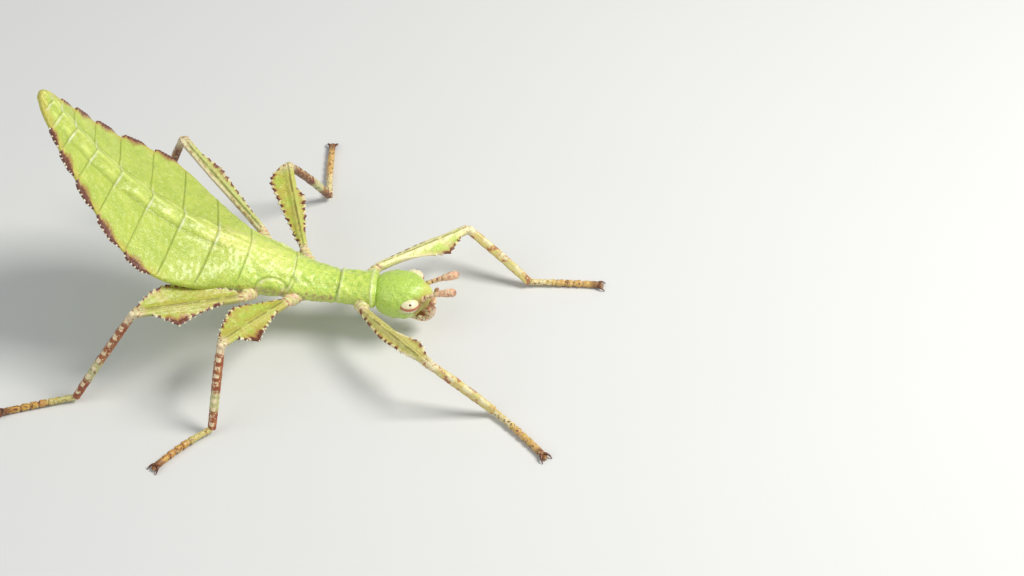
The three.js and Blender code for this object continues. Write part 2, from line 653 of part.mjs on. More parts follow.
for (const [name, leg] of Object.entries(LEGS)) {
  const [root, hip, knee, ankle, toe] = ['root', 'hip', 'knee', 'ankle', 'toe'].map((k) => vector(leg[k]));
  const face = vector(leg.face);
  const group = new THREE.Group();
  insect.add(group);
  const heading = (a, b) => b.clone().sub(a).normalize();
  const halfway = (a, b, c) => heading(a, b).add(heading(b, c)).normalize();
  const hipNormal = halfway(root, hip, knee);
  const kneeNormal = halfway(hip, knee, ankle);
  const ankleNormal = halfway(knee, ankle, toe);

  // Coxa with its trochanter
  const coxaLine = new THREE.LineCurve3(root, hip);
  const coxaSize = (share) => mix(COXA.root, COXA.hip, smooth(share, COXA.from, 1))
    * (Math.abs(share - COXA.waistAt) < COXA.waistReach ? COXA.waist : 1);
  const coxa = tube(coxaLine, coxaSize, COXA.steps, COXA.sides);
  const { position } = coxa.attributes;
  const endRing = [...Array(COXA.sides).keys()].map((k) => COXA.steps * COXA.sides + k);
  for (const i of [...endRing, position.count - 1]) {
    const point = new THREE.Vector3().fromBufferAttribute(position, i);
    const axis = heading(root, hip);
    const off = point.clone().sub(hip).dot(hipNormal);
    point.addScaledVector(axis, (-GAP / 2 - off) / axis.dot(hipNormal));
    position.setXYZ(i, point.x, point.y, point.z);
  }
  place(`${name}_coxa`, clearOfTrunk(coxa), COLOURS.coxa, hip, group);

  // Femur and tibia, each in its own frame
  const swapped = leg.hip[1] > 0 ? { fore: leg.aft, aft: leg.fore } : leg;
  const pieces = [
    ['femur', hip, knee, hipNormal, kneeNormal, (length) => femurStations(swapped, length)],
    ['tibia', knee, ankle, kneeNormal, ankleNormal, (length) => tibiaStations(leg, length)],
  ];
  for (const [part, from, to, startNormal, endNormal, stations] of pieces) {
    const frame = limbFrame(from, to, face);
    const inverse = frame.clone().invert();
    const length = from.distanceTo(to);
    const local = [startNormal, endNormal].map((n) => n.clone().transformDirection(inverse));
    const shape = clearOfTrunk(limb(stations(length), length, ...local), inverse);
    const mesh = place(`${name}_${part}`, shape, COLOURS[part], new THREE.Vector3(), group);
    mesh.position.copy(from);
    mesh.quaternion.setFromRotationMatrix(frame);
  }

  place(`${name}_tarsus`, foot(leg, ankleNormal), COLOURS.tarsus, ankle, group);
}

/** The mesothorax with its row of warts along each side. */
function withWarts(geometry) {
  let whole = solid(geometry);
  for (let i = 0; i < WART.count; i += 1) {
    const at = mix(WART.from, WART.to, i / (WART.count - 1));
    const { point } = ridge(at);
    const size = WART.size * (i % 2 === 0 ? 1 : WART.small);
    for (const sign of [-1, 1]) {
      const wart = ellipsoid([size, size, size], WART.sides, WART.rows);
      const out = along('half', at) + WART.stand;
      wart.translate(point.x, sign * out, point.z - along('drop', at) - WART.below);
      whole = whole.add(solid(wart));
    }
  }
  return surface(whole);
}
trunk.mesothorax = withWarts(trunk.mesothorax);

for (const piece of TRUNK.slice(1)) {
  const geometry = trunk[piece.name];
  const colour = piece.name.startsWith('abdomen') ? COLOURS.abdomen : COLOURS.thorax;
  geometry.computeBoundingBox();
  place(piece.name, geometry, colour, geometry.boundingBox.getCenter(new THREE.Vector3()));
}

// The origin is on the floor under the middle of the whole.
const model = new THREE.Group();
model.add(insect);
model.updateMatrixWorld(true);
const box = new THREE.Box3().setFromObject(model, true);
insect.position.set(-(box.min.x + box.max.x) / 2, -(box.min.y + box.max.y) / 2, -box.min.z);

export default model;
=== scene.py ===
"""Looks of a life-size leaf insect nymph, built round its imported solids.

The trunk is one skin over the head, thorax and abdomen. Each leg segment, eye, feeler and mouth piece
is a fine surface of its own in the place of its solid. Sizes are in millimetres in the insect's own
frame, whose origin is under the waist, and turn into metres in the shared frame when a mesh is made.
"""

import logging
import math
from dataclasses import dataclass
from enum import Enum

import bmesh
import bpy
import numpy as np
from mathutils import Matrix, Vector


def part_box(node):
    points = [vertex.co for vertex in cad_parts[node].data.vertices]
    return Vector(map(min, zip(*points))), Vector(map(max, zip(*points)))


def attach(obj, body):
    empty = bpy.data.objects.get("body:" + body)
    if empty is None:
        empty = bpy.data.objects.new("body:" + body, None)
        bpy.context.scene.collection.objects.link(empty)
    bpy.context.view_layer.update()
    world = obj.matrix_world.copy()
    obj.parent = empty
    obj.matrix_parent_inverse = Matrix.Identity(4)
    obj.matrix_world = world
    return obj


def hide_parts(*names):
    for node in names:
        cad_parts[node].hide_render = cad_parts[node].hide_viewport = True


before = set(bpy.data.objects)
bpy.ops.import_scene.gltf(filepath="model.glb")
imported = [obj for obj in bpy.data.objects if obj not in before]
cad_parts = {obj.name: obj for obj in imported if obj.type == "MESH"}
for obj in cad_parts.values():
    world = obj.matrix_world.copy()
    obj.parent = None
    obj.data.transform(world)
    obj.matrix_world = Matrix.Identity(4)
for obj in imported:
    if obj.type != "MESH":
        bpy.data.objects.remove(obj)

LOG = logging.getLogger("leaf_insect")
MM = 0.001
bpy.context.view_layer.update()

Colour = tuple[float, float, float]
Place = tuple[float, float, float]
Span = tuple[float, float]
Grid = np.ndarray


class Side(Enum):
    """The two sides of the insect, as the sign of Y."""

    LEFT = 1
    RIGHT = -1


# Sizes shared by the trunk


@dataclass(frozen=True)
class Seam:
    """Trunk sizes at one seam, in mm and degrees, from the seam before it."""

    run: float
    pitch: float
    half: float
    drop: float
    depth: float
    round: float
    sweep: float
    band: float


SEAMS = (
    Seam(0.0, 12, 1.5, 1.3, 2.6, 1.0, 0.0, 2.0),
    Seam(6.1, -5, 2.3, 1.6, 3.2, 1.0, 0.0, 2.0),
    Seam(3.9, 5, 2.2, 1.5, 3.0, 1.0, 0.1, 2.0),
    Seam(5.1, 25, 3.15, 1.9, 3.7, 0.95, 0.2, 2.4),
    Seam(5.6, 25, 4.55, 2.6, 4.7, 0.8, 0.15, 3.0),
    Seam(3.95, 27, 6.9, 2.4, 4.1, 0.45, 0.6, 2.6),
    Seam(4.2, 35, 8.45, 1.9, 3.3, 0.15, 0.55, 2.1),
    Seam(4.2, 42, 8.05, 1.6, 2.7, 0.0, 0.55, 1.8),
    Seam(4.5, 49, 6.15, 1.3, 2.3, 0.0, 0.5, 1.6),
    Seam(3.9, 55, 4.6, 1.0, 2.0, 0.0, 0.5, 1.3),
    Seam(3.5, 58, 3.3, 0.8, 1.8, 0.0, 0.4, 1.1),
    Seam(2.5, 60, 2.3, 0.6, 1.6, 0.1, 0.3, 0.9),
    Seam(1.9, 60, 1.55, 0.45, 1.3, 0.3, 0.2, 0.7),
    Seam(1.5, 58, 0.6, 0.25, 0.8, 0.6, 0.0, 0.4),
)
# Seams by number: behind the head, the pronotum, the mesothorax and the metathorax
NECK_SEAM, CHEST_SEAM, FLANK_SEAM, WAIST_SEAM = 1, 2, 3, 4
WAIST_HEIGHT = 11.6  # the ridge above the floor at the waist, where x is 0
TRUNK_NODES = (
    "head", "pronotum", "mesothorax", "metathorax", "abdomen_2", "abdomen_3", "abdomen_4",
    "abdomen_5", "abdomen_6", "abdomen_7", "abdomen_8", "abdomen_9", "abdomen_10",
)
LOBES = (0, 0, 0, 0, 0, 0, 0.5, 0.6, 0.55, 0.44, 0.22, 0, 0)  # reach of each node's edge lobe
EYE_PLACE = (17.9, 2.2, 6.25)  # middle of the left eye


def smooth(value: Grid, low: float, high: float) -> Grid:
    """A smooth step from 0 at low to 1 at high.

    Args:
        value: The numbers to step.
        low: Where the step starts.
        high: Where it ends.

    Returns:
        Numbers from 0 to 1.
    """
    share = np.clip((np.asarray(value, float) - low) / (high - low), 0.0, 1.0)
    return share * share * (3.0 - 2.0 * share)


def hump(value: Grid, centre: float, width: float) -> Grid:
    """A bell of height 1 round centre; width is its half-width at a third of its height."""
    return np.exp(-(((np.asarray(value, float) - centre) / width) ** 2))


def mix(low: Grid, high: Grid, share: Grid) -> Grid:
    """Straight blend from low to high."""
    return low + (high - low) * share


def ripple(points: Grid, size: float, seed: int) -> Grid:
    """A soft seeded waviness, from -1 to 1, with features of about one size.

    Args:
        points: Places, in mm, in the last axis.
        size: Feature size in mm.
        seed: Seed of the draw.

    Returns:
        One number for each point.
    """
    draw = np.random.default_rng(seed)
    total = np.zeros(points.shape[:-1])
    for _ in range(7):
        way = draw.normal(size=3)
        way *= draw.uniform(0.7, 1.4) / np.linalg.norm(way)
        total += np.sin(points @ way * (math.pi / size) + draw.uniform(0, 2 * math.pi))
    return total / 4.0


def unit(vector: Grid) -> Grid:
    """Vectors scaled to length 1 along the last axis."""
    return vector / np.maximum(np.linalg.norm(vector, axis=-1, keepdims=True), 1e-9)


def unit_ball(rows: int, columns: int, gap: float) -> Grid:
    """A ball of radius 1 in rings along X.

    Args:
        rows: How many rings.
        columns: Points in a ring.
        gap: Angle left open round either pole, in radians.

    Returns:
        Rings by columns by XYZ.
    """
    tilt = np.linspace(gap, math.pi - gap, rows)[:, None]
    angle = np.linspace(0, 2 * math.pi, columns, endpoint=False)[None]
    along = -np.cos(tilt) * np.ones_like(angle)
    return np.stack([along, np.sin(tilt) * np.cos(angle), np.sin(tilt) * np.sin(angle)], axis=-1)


def curve(start: Grid, middle: Grid, end: Grid, share: Grid) -> Grid:
    """Points of a bent line from start to end that leans towards the middle."""
    s = share[:, None]
    return (1 - s) ** 2 * start + 2 * s * (1 - s) * middle + s**2 * end


def length_of(path: Grid) -> float:
    """Length of a line of points."""
    return float(np.linalg.norm(np.diff(path, axis=0), axis=1).sum())


def facing(side: Grid, back: Grid) -> Matrix:
    """The turn of a lamp or camera, from its right-hand side and the way behind it."""
    return Matrix(np.stack([side, np.cross(back, side), back], axis=1).tolist()).to_4x4()


def frame_shift() -> Grid:
    """Where the insect's own origin lies in the shared frame, in mm, read from an eye's box."""
    low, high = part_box("eye_right")
    centre = (np.array(low) + np.array(high)) / 2 / MM
    along, out, up = EYE_PLACE
    return centre - np.array([along, -out, up])


SHIFT = frame_shift()
HIP_FOLDS = 31.0  # radians of folding along a hip
THIGH_LAYERS = ("edge", "lateral", "share", "along", "red")
TRUNK_LAYERS = (
    "along", "lateral", "edge", "rim", "fold", "groove", "crest", "spots", "pale", "stripe",
)


# Meshes


class Shell:
    """Grids of points gathered into one mesh, with named numbers at every point."""

    def __init__(self, *layers: str) -> None:
        """Starts an empty shell with the names of its layers."""
        self.layers: dict[str, list[Grid]] = {name: [] for name in layers}
        self.points: list[Grid] = []
        self.faces: list[Grid] = []
        self.caps: list[list[int]] = []
        self.count = 0

    def add(self, points: Grid, **layers: Grid | float) -> None:
        """Adds one closed tube of rings, with its two ends filled.

        Args:
            points: Rings by columns by XYZ, in mm.
            layers: A number, or a grid of numbers, for each layer; a missing one is 0.
        """
        rows, columns = points.shape[:2]
        index = self.count + np.arange(rows * columns).reshape(rows, columns)
        around = np.roll(index, -1, axis=1)
        quads = np.stack([index[:-1], around[:-1], around[1:], index[1:]], axis=-1)
        self.faces.append(quads.reshape(-1, 4))
        self.points.append(points.reshape(-1, 3))
        for name, values in self.layers.items():
            grid = np.broadcast_to(layers.get(name, 0.0), (rows, columns))
            values.append(grid.reshape(-1))
        self.count += rows * columns
        for ring in (index[0][::-1], index[-1]):
            self.caps.append([int(i) for i in ring])

    def piece(self, name: str, slot: str, finish: "Finish", *nodes: str) -> bpy.types.Object:
        """Makes the object, rides it on the root and hides the solids it stands for.

        Args:
            name: The object's name.
            slot: The record's material slot; not used.
            finish: The finish that dresses it.
            nodes: The nodes that it replaces.

        Returns:
            The new object.
        """
        mesh = bpy.data.meshes.new(name)
        points = (np.concatenate(self.points) + SHIFT) * MM
        quads = np.concatenate(self.faces)
        mesh.from_pydata(points.tolist(), [], quads.tolist() + self.caps)
        for layer, values in self.layers.items():
            attribute = mesh.attributes.new(layer, "FLOAT", "POINT")
            attribute.data.foreach_set("value", np.concatenate(values).astype(np.float32))
        work = bmesh.new()
        work.from_mesh(mesh)
        bmesh.ops.recalc_face_normals(work, faces=work.faces)
        work.to_mesh(mesh)
        work.free()
        mesh.shade_smooth()
        piece = bpy.data.objects.new(name, mesh)
        bpy.context.scene.collection.objects.link(piece)
        mesh.materials.append(finish.material())
        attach(piece, "root")
        if nodes:
            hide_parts(*nodes)
        LOG.info("%s: %d points", name, self.count)
        return piece


def swollen(points: Grid, amount: Grid) -> Grid:
    """Moves a closed tube's points out along its own surface normal.

    Args:
        points: Rings by columns by XYZ.
        amount: How far each point moves, in mm.

    Returns:
        The moved points.
    """
    along = np.gradient(points, axis=0)
    around = np.roll(points, -1, axis=1) - np.roll(points, 1, axis=1)
    normal = unit(np.cross(around, along))
    centre = points.mean(axis=1, keepdims=True)
    outward = np.sign(((points - centre) * normal).sum(-1).mean())
    return points + normal * outward * amount[..., None]


def tube(path: Grid, wide: Grid, high: Grid, look: Grid, columns: int = 20) -> Grid:
    """A tube of rings along a path.

    Args:
        path: Centre of each ring, in mm.
        wide: Half-width across, one number for each ring.
        high: Half-height along the look, one number for each ring.
        look: The way that the tube's top faces.
        columns: Points in a ring.

    Returns:
        Rings by columns by XYZ.
    """
    axis = unit(np.gradient(path, axis=0))
    up = unit(look - (axis @ look)[:, None] * axis)
    across = np.cross(up, axis)
    angle = 2 * math.pi * np.arange(columns) / columns
    return (
        path[:, None]
        + across[:, None] * (wide[:, None] * np.cos(angle))[..., None]
        + up[:, None] * (high[:, None] * np.sin(angle))[..., None]
    )


def rounded(share: Grid, length: float, first: float, last: float) -> Grid:
    """Shrinks a tube's ends into round caps.

    Args:
        share: Shares of the length, from 0 to 1.
        length: The tube's length in mm.
        first: Length of the first cap in mm.
        last: Length of the last cap in mm.

    Returns:
        Factors for the radius.
    """
    start = np.clip(1 - share * length / first, 0, 1)
    end = np.clip(1 - (1 - share) * length / last, 0, 1)
    return np.sqrt(np.clip(1 - start**2, 0.002, 1)) * np.sqrt(np.clip(1 - end**2, 0.002, 1))


def end_shares(count: int) -> Grid:
    """Shares from 0 to 1 that lie closer together at both ends."""
    line = np.linspace(0, 1, count)
    return 0.35 * line + 0.65 * (0.5 - 0.5 * np.cos(math.pi * line))


# Finishes


class Mixer:
    """A material's node tree, with short calls for the nodes that the finishes use."""

    def __init__(self, name: str) -> None:
        """Starts a material that holds only the shader and the output."""
        self.material = bpy.data.materials.new(name)
        self.material.use_nodes = True
        self.tree = self.material.node_tree
        self.tree.nodes.clear()
        self.shader = self.tree.nodes.new("ShaderNodeBsdfPrincipled")
        output = self.tree.nodes.new("ShaderNodeOutputMaterial")
        self.tree.links.new(self.shader.outputs[0], output.inputs[0])
        self.coordinates = self.tree.nodes.new("ShaderNodeTexCoord").outputs["Object"]

    def feed(self, socket: bpy.types.NodeSocket, value: object) -> None:
        """Links a socket to another one, or sets its number or colour."""
        if isinstance(value, bpy.types.NodeSocket):
            self.tree.links.new(value, socket)
        elif isinstance(value, tuple) and socket.type == "RGBA":
            socket.default_value = (*value, 1.0)
        else:
            socket.default_value = value

    def layer(self, name: str) -> bpy.types.NodeSocket:
        """A layer of numbers on the mesh."""
        node = self.tree.nodes.new("ShaderNodeAttribute")
        node.attribute_name = name
        return node.outputs["Fac"]

    def stretched(self, x: float, y: float, z: float) -> bpy.types.NodeSocket:
        """Object coordinates scaled along each axis."""
        node = self.tree.nodes.new("ShaderNodeMapping")
        self.feed(node.inputs["Vector"], self.coordinates)
        node.inputs["Scale"].default_value = (x, y, z)
        return node.outputs[0]

    def noise(self, size: float, detail: float = 3.0, where: object = None) -> bpy.types.NodeSocket:
        """Cloudy noise.

        Args:
            size: Feature size in mm.
            detail: Octaves of detail.
            where: Coordinates, or None for the object's own.

        Returns:
            A number round one half.
        """
        node = self.tree.nodes.new("ShaderNodeTexNoise")
        self.feed(node.inputs["Vector"], where or self.coordinates)
        node.inputs["Scale"].default_value = 1 / (size * MM)
        node.inputs["Detail"].default_value = detail
        return node.outputs[0]

    def cells(self, size: float) -> bpy.types.NodeSocket:
        """Distance to the nearest of scattered points; size is their spacing in mm."""
        node = self.tree.nodes.new("ShaderNodeTexVoronoi")
        self.feed(node.inputs["Vector"], self.coordinates)
        node.inputs["Scale"].default_value = 1 / (size * MM)
        return node.outputs[0]

    def step(self, value: object, low: float, high: float) -> bpy.types.NodeSocket:
        """A smooth step from 0 to 1 as the value goes from low to high."""
        node = self.tree.nodes.new("ShaderNodeMapRange")
        node.interpolation_type = "SMOOTHSTEP"
        self.feed(node.inputs["Value"], value)
        if low > high:
            node.inputs["To Min"].default_value = 1.0
            node.inputs["To Max"].default_value = 0.0
            low, high = high, low
        node.inputs["From Min"].default_value = low
        node.inputs["From Max"].default_value = high
        return node.outputs[0]

    def band(self, value: object, centre: float, width: float) -> bpy.types.NodeSocket:
        """1 where the value is within width of the centre, with soft edges."""
        off = self.math("ABSOLUTE", self.math("SUBTRACT", value, centre))
        return self.step(off, width, 0.45 * width)

    def math(self, way: str, first: object, second: object = 0.0) -> bpy.types.NodeSocket:
        """One sum of two numbers or sockets."""
        node = self.tree.nodes.new("ShaderNodeMath")
        node.operation = way
        self.feed(node.inputs[0], first)
        self.feed(node.inputs[1], second)
        return node.outputs[0]

    def times(self, first: object, *others: object) -> bpy.types.NodeSocket:
        """The product of several numbers or sockets."""
        for other in others:
            first = self.math("MULTIPLY", first, other)
        return first

    def shaken(self, base: object, noise: object, amount: float) -> bpy.types.NodeSocket:
        """A value pushed up and down by a noise that lies round one half."""
        return self.math("ADD", base, self.times(self.math("SUBTRACT", noise, 0.5), amount))

    def clouded(self, first: Colour, second: Colour, size: float, detail: float,
                span: Span) -> bpy.types.NodeSocket:
        """A ground of two colours in soft clouds.

        Args:
            first: The colour where the noise is low.
            second: The colour where it is high.
            size: Feature size in mm.
            detail: Octaves of detail.
            span: Where the noise turns from the first to the second.

        Returns:
            The colour.
        """
        return self.blend(self.step(self.noise(size, detail), *span), first, second)

    def freckled(self, skin: object, over: Colour, size: float, detail: float, span: Span,
                 amount: float) -> bpy.types.NodeSocket:
        """Ragged spots laid over a skin.

        Args:
            skin: The skin's colour.
            over: The spots' colour.
            size: Their size in mm.
            detail: Octaves of detail in their outline.
            span: Where the noise turns from skin to spot.
            amount: How strongly they cover.

        Returns:
            The colour.
        """
        return self.blend(self.times(self.step(self.noise(size, detail), *span), amount), skin, over)

    def pearled(self, skin: object, over: Colour, size: float, span: Span,
                amount: float) -> bpy.types.NodeSocket:
        """Round dots laid over a skin.

        Args:
            skin: The skin's colour.
            over: The dots' colour.
            size: Their spacing in mm.
            span: Where the distance to a dot's middle turns from skin to dot.
            amount: How strongly they cover.

        Returns:
            The colour.
        """
        return self.blend(self.times(self.step(self.cells(size), *span), amount), skin, over)

    def blend(self, share: object, under: object, over: object) -> bpy.types.NodeSocket:
        """A colour blended over another.

        Args:
            share: How much of the upper colour shows.
            under: The lower colour, or a socket.
            over: The upper colour, or a socket.

        Returns:
            The blended colour.
        """
        node = self.tree.nodes.new("ShaderNodeMix")
        node.data_type = "RGBA"
        node.clamp_factor = True
        self.feed(node.inputs[0], share)
        self.feed(node.inputs[6], under)
        self.feed(node.inputs[7], over)
        return node.outputs[2]

    def bump(self, height: object, depth: float, under: object = None) -> bpy.types.NodeSocket:
        """A bumped normal.

        Args:
            height: Height from 0 to 1.
            depth: What a height of 1 stands for, in mm.
            under: A normal that this one adds to, or None.

        Returns:
            The normal.
        """
        node = self.tree.nodes.new("ShaderNodeBump")
        node.inputs["Strength"].default_value = 1.0
        node.inputs["Distance"].default_value = depth * MM
        self.feed(node.inputs["Height"], height)
        if under is not None:
            self.feed(node.inputs["Normal"], under)
        return node.outputs[0]

    def dress(self, colour: object, rough: object, normal: object = None, **fixed: float) -> None:
        """Feeds the shader.

        Args:
            colour: Base colour.
            rough: Roughness.
            normal: Bumped normal, or None.
            fixed: Numbers for the shader's own sockets, spaces written as underlines.
        """
        self.feed(self.shader.inputs["Base Color"], colour)
        self.feed(self.shader.inputs["Roughness"], rough)
        if normal is not None:
            self.feed(self.shader.inputs["Normal"], normal)
        for name, value in fixed.items():
            self.shader.inputs[name.replace("_", " ")].default_value = value


class Finish:
    """A surface finish. Each kind makes its material once."""

    made: dict["Finish", bpy.types.Material] = {}

    def material(self) -> bpy.types.Material:
        """The material, made on the first call."""
        if self not in Finish.made:
            Finish.made[self] = self.mix_paint()
        return Finish.made[self]

    def mix_paint(self) -> bpy.types.Material:
        """Makes the node tree."""
        raise NotImplementedError


CREAM: Colour = (0.86, 0.74, 0.48)
WHITE: Colour = (0.93, 0.88, 0.74)
MAROON: Colour = (0.15, 0.035, 0.014)
RUST: Colour = (0.38, 0.14, 0.045)
OCHRE: Colour = (0.62, 0.42, 0.075)
OLIVE_BROWN: Colour = (0.30, 0.22, 0.03)
RUST_PINK: Colour = (0.56, 0.30, 0.11)


@dataclass(frozen=True)
class TrunkFinish(Finish):
    """Leaf-green skin of the trunk, marked by its mesh layers.

    The sizes are of features in mm, and the spans are lengths along the back in mm.
    """

    leaf: Colour = (0.52, 0.62, 0.085)
    leaf_deep: Colour = (0.43, 0.55, 0.065)
    leaf_pale: Colour = (0.80, 0.84, 0.32)
    crest_pale_and_highlight: Colour = (0.80, 0.88, 0.22)
    groove_shade_tone: Colour = (0.20, 0.27, 0.02)
    thorax: Colour = (0.62, 0.76, 0.12)
    thorax_green: Colour = (0.44, 0.66, 0.08)
    head: Colour = (0.54, 0.72, 0.12)
    head_dark: Colour = (0.32, 0.53, 0.06)
    face: Colour = (0.66, 0.66, 0.15)
    flush: Colour = (0.92, 0.84, 0.28)
    edge_pink: Colour = (0.50, 0.27, 0.13)
    cloud: float = 1.8
    grain: float = 0.15
    mottle: float = 0.42
    grit: float = 0.24
    fibre: float = 0.2
    face_end: Span = (1.1, 0.2)
    head_end: Span = (6.2, 5.9)
    thorax_end: Span = (23.5, 19.5)
    flush_at: Span = (20.5, 7.0)
    ochre_from: Span = (27.0, 30.5)

    def mix_paint(self) -> bpy.types.Material:
        """Makes the node tree."""
        pot = Mixer("trunk_skin")
        along, lateral, edge, rim, fold, groove, crest, spots, pale, stripe = (
            pot.layer(name) for name in TRUNK_LAYERS)
        grain = pot.noise(self.grain, 4)
        mottle = pot.noise(self.mottle, 3)
        fibres = pot.noise(self.fibre, 3, pot.stretched(0.35, 1.0, 0.35))

        # The ground colour from head to tail
        skin = pot.clouded(self.leaf, self.leaf_deep, self.cloud, 4, (0.34, 0.68))
        skin = pot.blend(pot.times(pot.step(fibres, 0.5, 0.72), 0.5), skin, self.leaf_pale)
        chest = pot.blend(pot.step(mottle, 0.46, 0.66), self.thorax, self.thorax_green)
        chest = pot.blend(pot.times(pot.step(grain, 0.5, 0.7), 0.5), chest, self.leaf_pale)
        skin = pot.blend(pot.step(along, *self.thorax_end), skin, chest)
        crown = pot.blend(pot.times(pot.step(grain, 0.46, 0.62), 0.75), self.head, self.head_dark)
        crown = pot.blend(pot.times(pot.step(mottle, 0.5, 0.66), 0.7), crown, self.head)
        crown = pot.blend(pot.times(pot.step(along, *self.face_end), 0.8), crown, self.face)
        skin = pot.blend(pot.step(along, *self.head_end), skin, crown)
        skin = pot.pearled(skin, self.leaf_pale, self.grit, (0.32, 0.12), 0.34)

        # Yellow flush along the middle at the waist, pale crest with painted highlight on the ridge, knobs
        # and folds, painted shade in the grooves
        warm = pot.times(pot.band(along, *self.flush_at), pot.step(lateral, 3.0, 0.2), 0.7)
        skin = pot.blend(pot.times(warm, pot.step(mottle, 0.36, 0.6)), skin, self.flush)
        # Partly the crest's own pale yellow, partly painted highlight on the raised ridge and knobs
        skin = pot.blend(pot.times(crest, 0.75), skin, self.crest_pale_and_highlight)
        # Painted shade: the groove layer darkens the seam grooves, creases, rim lines and the hollow under
        # the flap
        skin = pot.blend(pot.times(groove, 0.75), skin, self.groove_shade_tone)
        # Painted highlight: white on the raised seam folds, strongest near the crest, over a faint pale
        # fold line, and on the collar rims and scutum
        skin = pot.blend(pot.times(fold, 0.75), skin, WHITE)
        skin = pot.blend(pot.times(pale, pot.step(mottle, 0.34, 0.56)), skin, CREAM)

        # Edges: ochre inside, then rust and maroon
        ragged = pot.shaken(rim, pot.noise(0.3, 3), 0.9)
        ochre = pot.times(pot.step(edge, 1.2, 0.1), pot.step(along, *self.ochre_from), 0.5)
        skin = pot.blend(ochre, skin, OCHRE)
        skin = pot.blend(pot.times(pot.step(ragged, 1.6, 0.7), 0.75), skin, RUST)
        skin = pot.blend(pot.step(ragged, 0.85, 0.4), skin, MAROON)
        skin = pot.blend(pot.times(spots, pot.step(mottle, 0.38, 0.6), 0.8), skin, self.edge_pink)
        skin = pot.blend(pot.times(stripe, 0.85), skin, RUST)

        rough = pot.shaken(0.3, grain, 0.3)
        normal = pot.bump(grain, 0.06)
        normal = pot.bump(pot.step(pot.cells(self.grit), 0.5, 0.1), 0.035, normal)
        normal = pot.bump(fibres, 0.05, normal)
        normal = pot.bump(mottle, 0.07, normal)
        pot.dress(skin, rough, normal, Subsurface_Weight=0.2, Subsurface_Scale=0.0008,
                  Coat_Weight=0.3, Coat_Roughness=0.2, Specular_IOR_Level=0.55)
        pot.shader.inputs["Subsurface Radius"].default_value = (0.9, 1.0, 0.25)
        return pot.material


@dataclass(frozen=True)
class ThighFinish(Finish):
    """Leaf-like thigh: a grooved stem, olive blades and dashed maroon edges."""

    name: str
    blade: Colour = (0.50, 0.46, 0.07)
    blade_green: Colour = (0.44, 0.55, 0.07)
    stem: Colour = (0.62, 0.58, 0.16)
    redness: float = 1.0
    margin: float = 0.19
    tip: float = 0.5
    fore_from: float = -1.0
    aft_to: float = 2.0
    hem: float = 0.0
    flecks: Colour = (0.74, 0.70, 0.24)
    furrow: Colour = (0.17, 0.15, 0.015)
    dash: float = 1.0
    fade: float = 0.08

    def mix_paint(self) -> bpy.types.Material:
        """Makes the node tree."""
        pot = Mixer(f"{self.name}_thigh")
        edge, across, share, run, red = (pot.layer(name) for name in THIGH_LAYERS)
        grain = pot.noise(0.14, 4)
        mottle = pot.noise(0.4, 3)
        skin = pot.clouded(self.blade, self.blade_green, 1.6, 4, (0.4, 0.64))
        skin = pot.blend(pot.times(pot.step(mottle, 0.52, 0.7), 0.4), skin, self.flecks)
        skin = pot.blend(pot.times(pot.band(across, 0.0, 0.7), 0.5), skin, self.stem)
        line = pot.times(pot.band(across, -0.12, 0.16), pot.step(pot.noise(1.2, 2), 0.34, 0.5))
        skin = pot.blend(pot.times(line, 0.65), skin, self.furrow)
        dots = pot.times(pot.step(pot.cells(0.55), 0.24, 0.12), pot.step(mottle, 0.4, 0.5))
        skin = pot.blend(pot.times(dots, 0.4), skin, CREAM)
        skin = pot.freckled(skin, OLIVE_BROWN, 0.22, 4, (0.54, 0.66), 0.45)
        skin = pot.blend(pot.times(red, pot.step(edge, 1.1, 0.2), 0.45), skin, RUST_PINK)
        hem = pot.times(pot.band(across, -0.44, 0.2), self.hem)
        skin = pot.blend(hem, skin, CREAM)
        skin = pot.blend(pot.times(hem, pot.step(pot.noise(0.6, 3), 0.5, 0.6), 0.9), skin, RUST)

        # Both ends cream with rust spots
        ends = pot.math("MAXIMUM", pot.step(share, 0.1, 0.02), pot.step(share, 0.86, 0.97))
        skin = pot.blend(pot.times(ends, 0.65), skin, CREAM)
        skin = pot.blend(pot.times(ends, pot.step(mottle, 0.5, 0.6), 0.85), skin, RUST)

        # Edges: dashes of maroon between cream, one broad band round the tips of the lobes
        turn = pot.math("ADD", pot.times(run, 2 * math.pi / self.dash), pot.times(pot.noise(1.6, 1), 9.0))
        dash = pot.math("MAXIMUM", pot.step(pot.math("SINE", turn), -0.35, 0.25),
                        pot.step(red, 0.45, 0.8))
        is_fore = pot.step(across, -0.05, 0.05)
        on_fore = pot.times(is_fore, pot.step(share, self.fore_from, self.fore_from + self.fade))
        on_aft = pot.times(pot.math("SUBTRACT", 1.0, is_fore),
                           pot.step(share, self.aft_to + self.fade, self.aft_to))
        dash = pot.times(dash, pot.math("ADD", on_fore, on_aft))
        ragged = pot.shaken(edge, pot.noise(0.35, 3), 0.4)
        depth = pot.math("DIVIDE", ragged, pot.math("ADD", self.margin, pot.times(red, self.tip)))
        skin = pot.blend(pot.times(pot.step(depth, 1.0, 0.6), 0.7), skin, CREAM)
        skin = pot.blend(pot.times(pot.step(depth, 1.9, 0.9), dash, 0.75 * self.redness), skin, RUST)
        skin = pot.blend(pot.times(pot.step(depth, 1.1, 0.6), dash, self.redness), skin, MAROON)
        normal = pot.bump(grain, 0.05)
        normal = pot.bump(mottle, 0.07, normal)
        rough = pot.shaken(0.36, grain, 0.35)
        pot.dress(skin, rough, normal, Subsurface_Weight=0.18, Subsurface_Scale=0.0006,
                  Coat_Weight=0.15, Coat_Roughness=0.25)
        pot.shader.inputs["Subsurface Radius"].default_value = (1.0, 0.8, 0.25)
        return pot.material


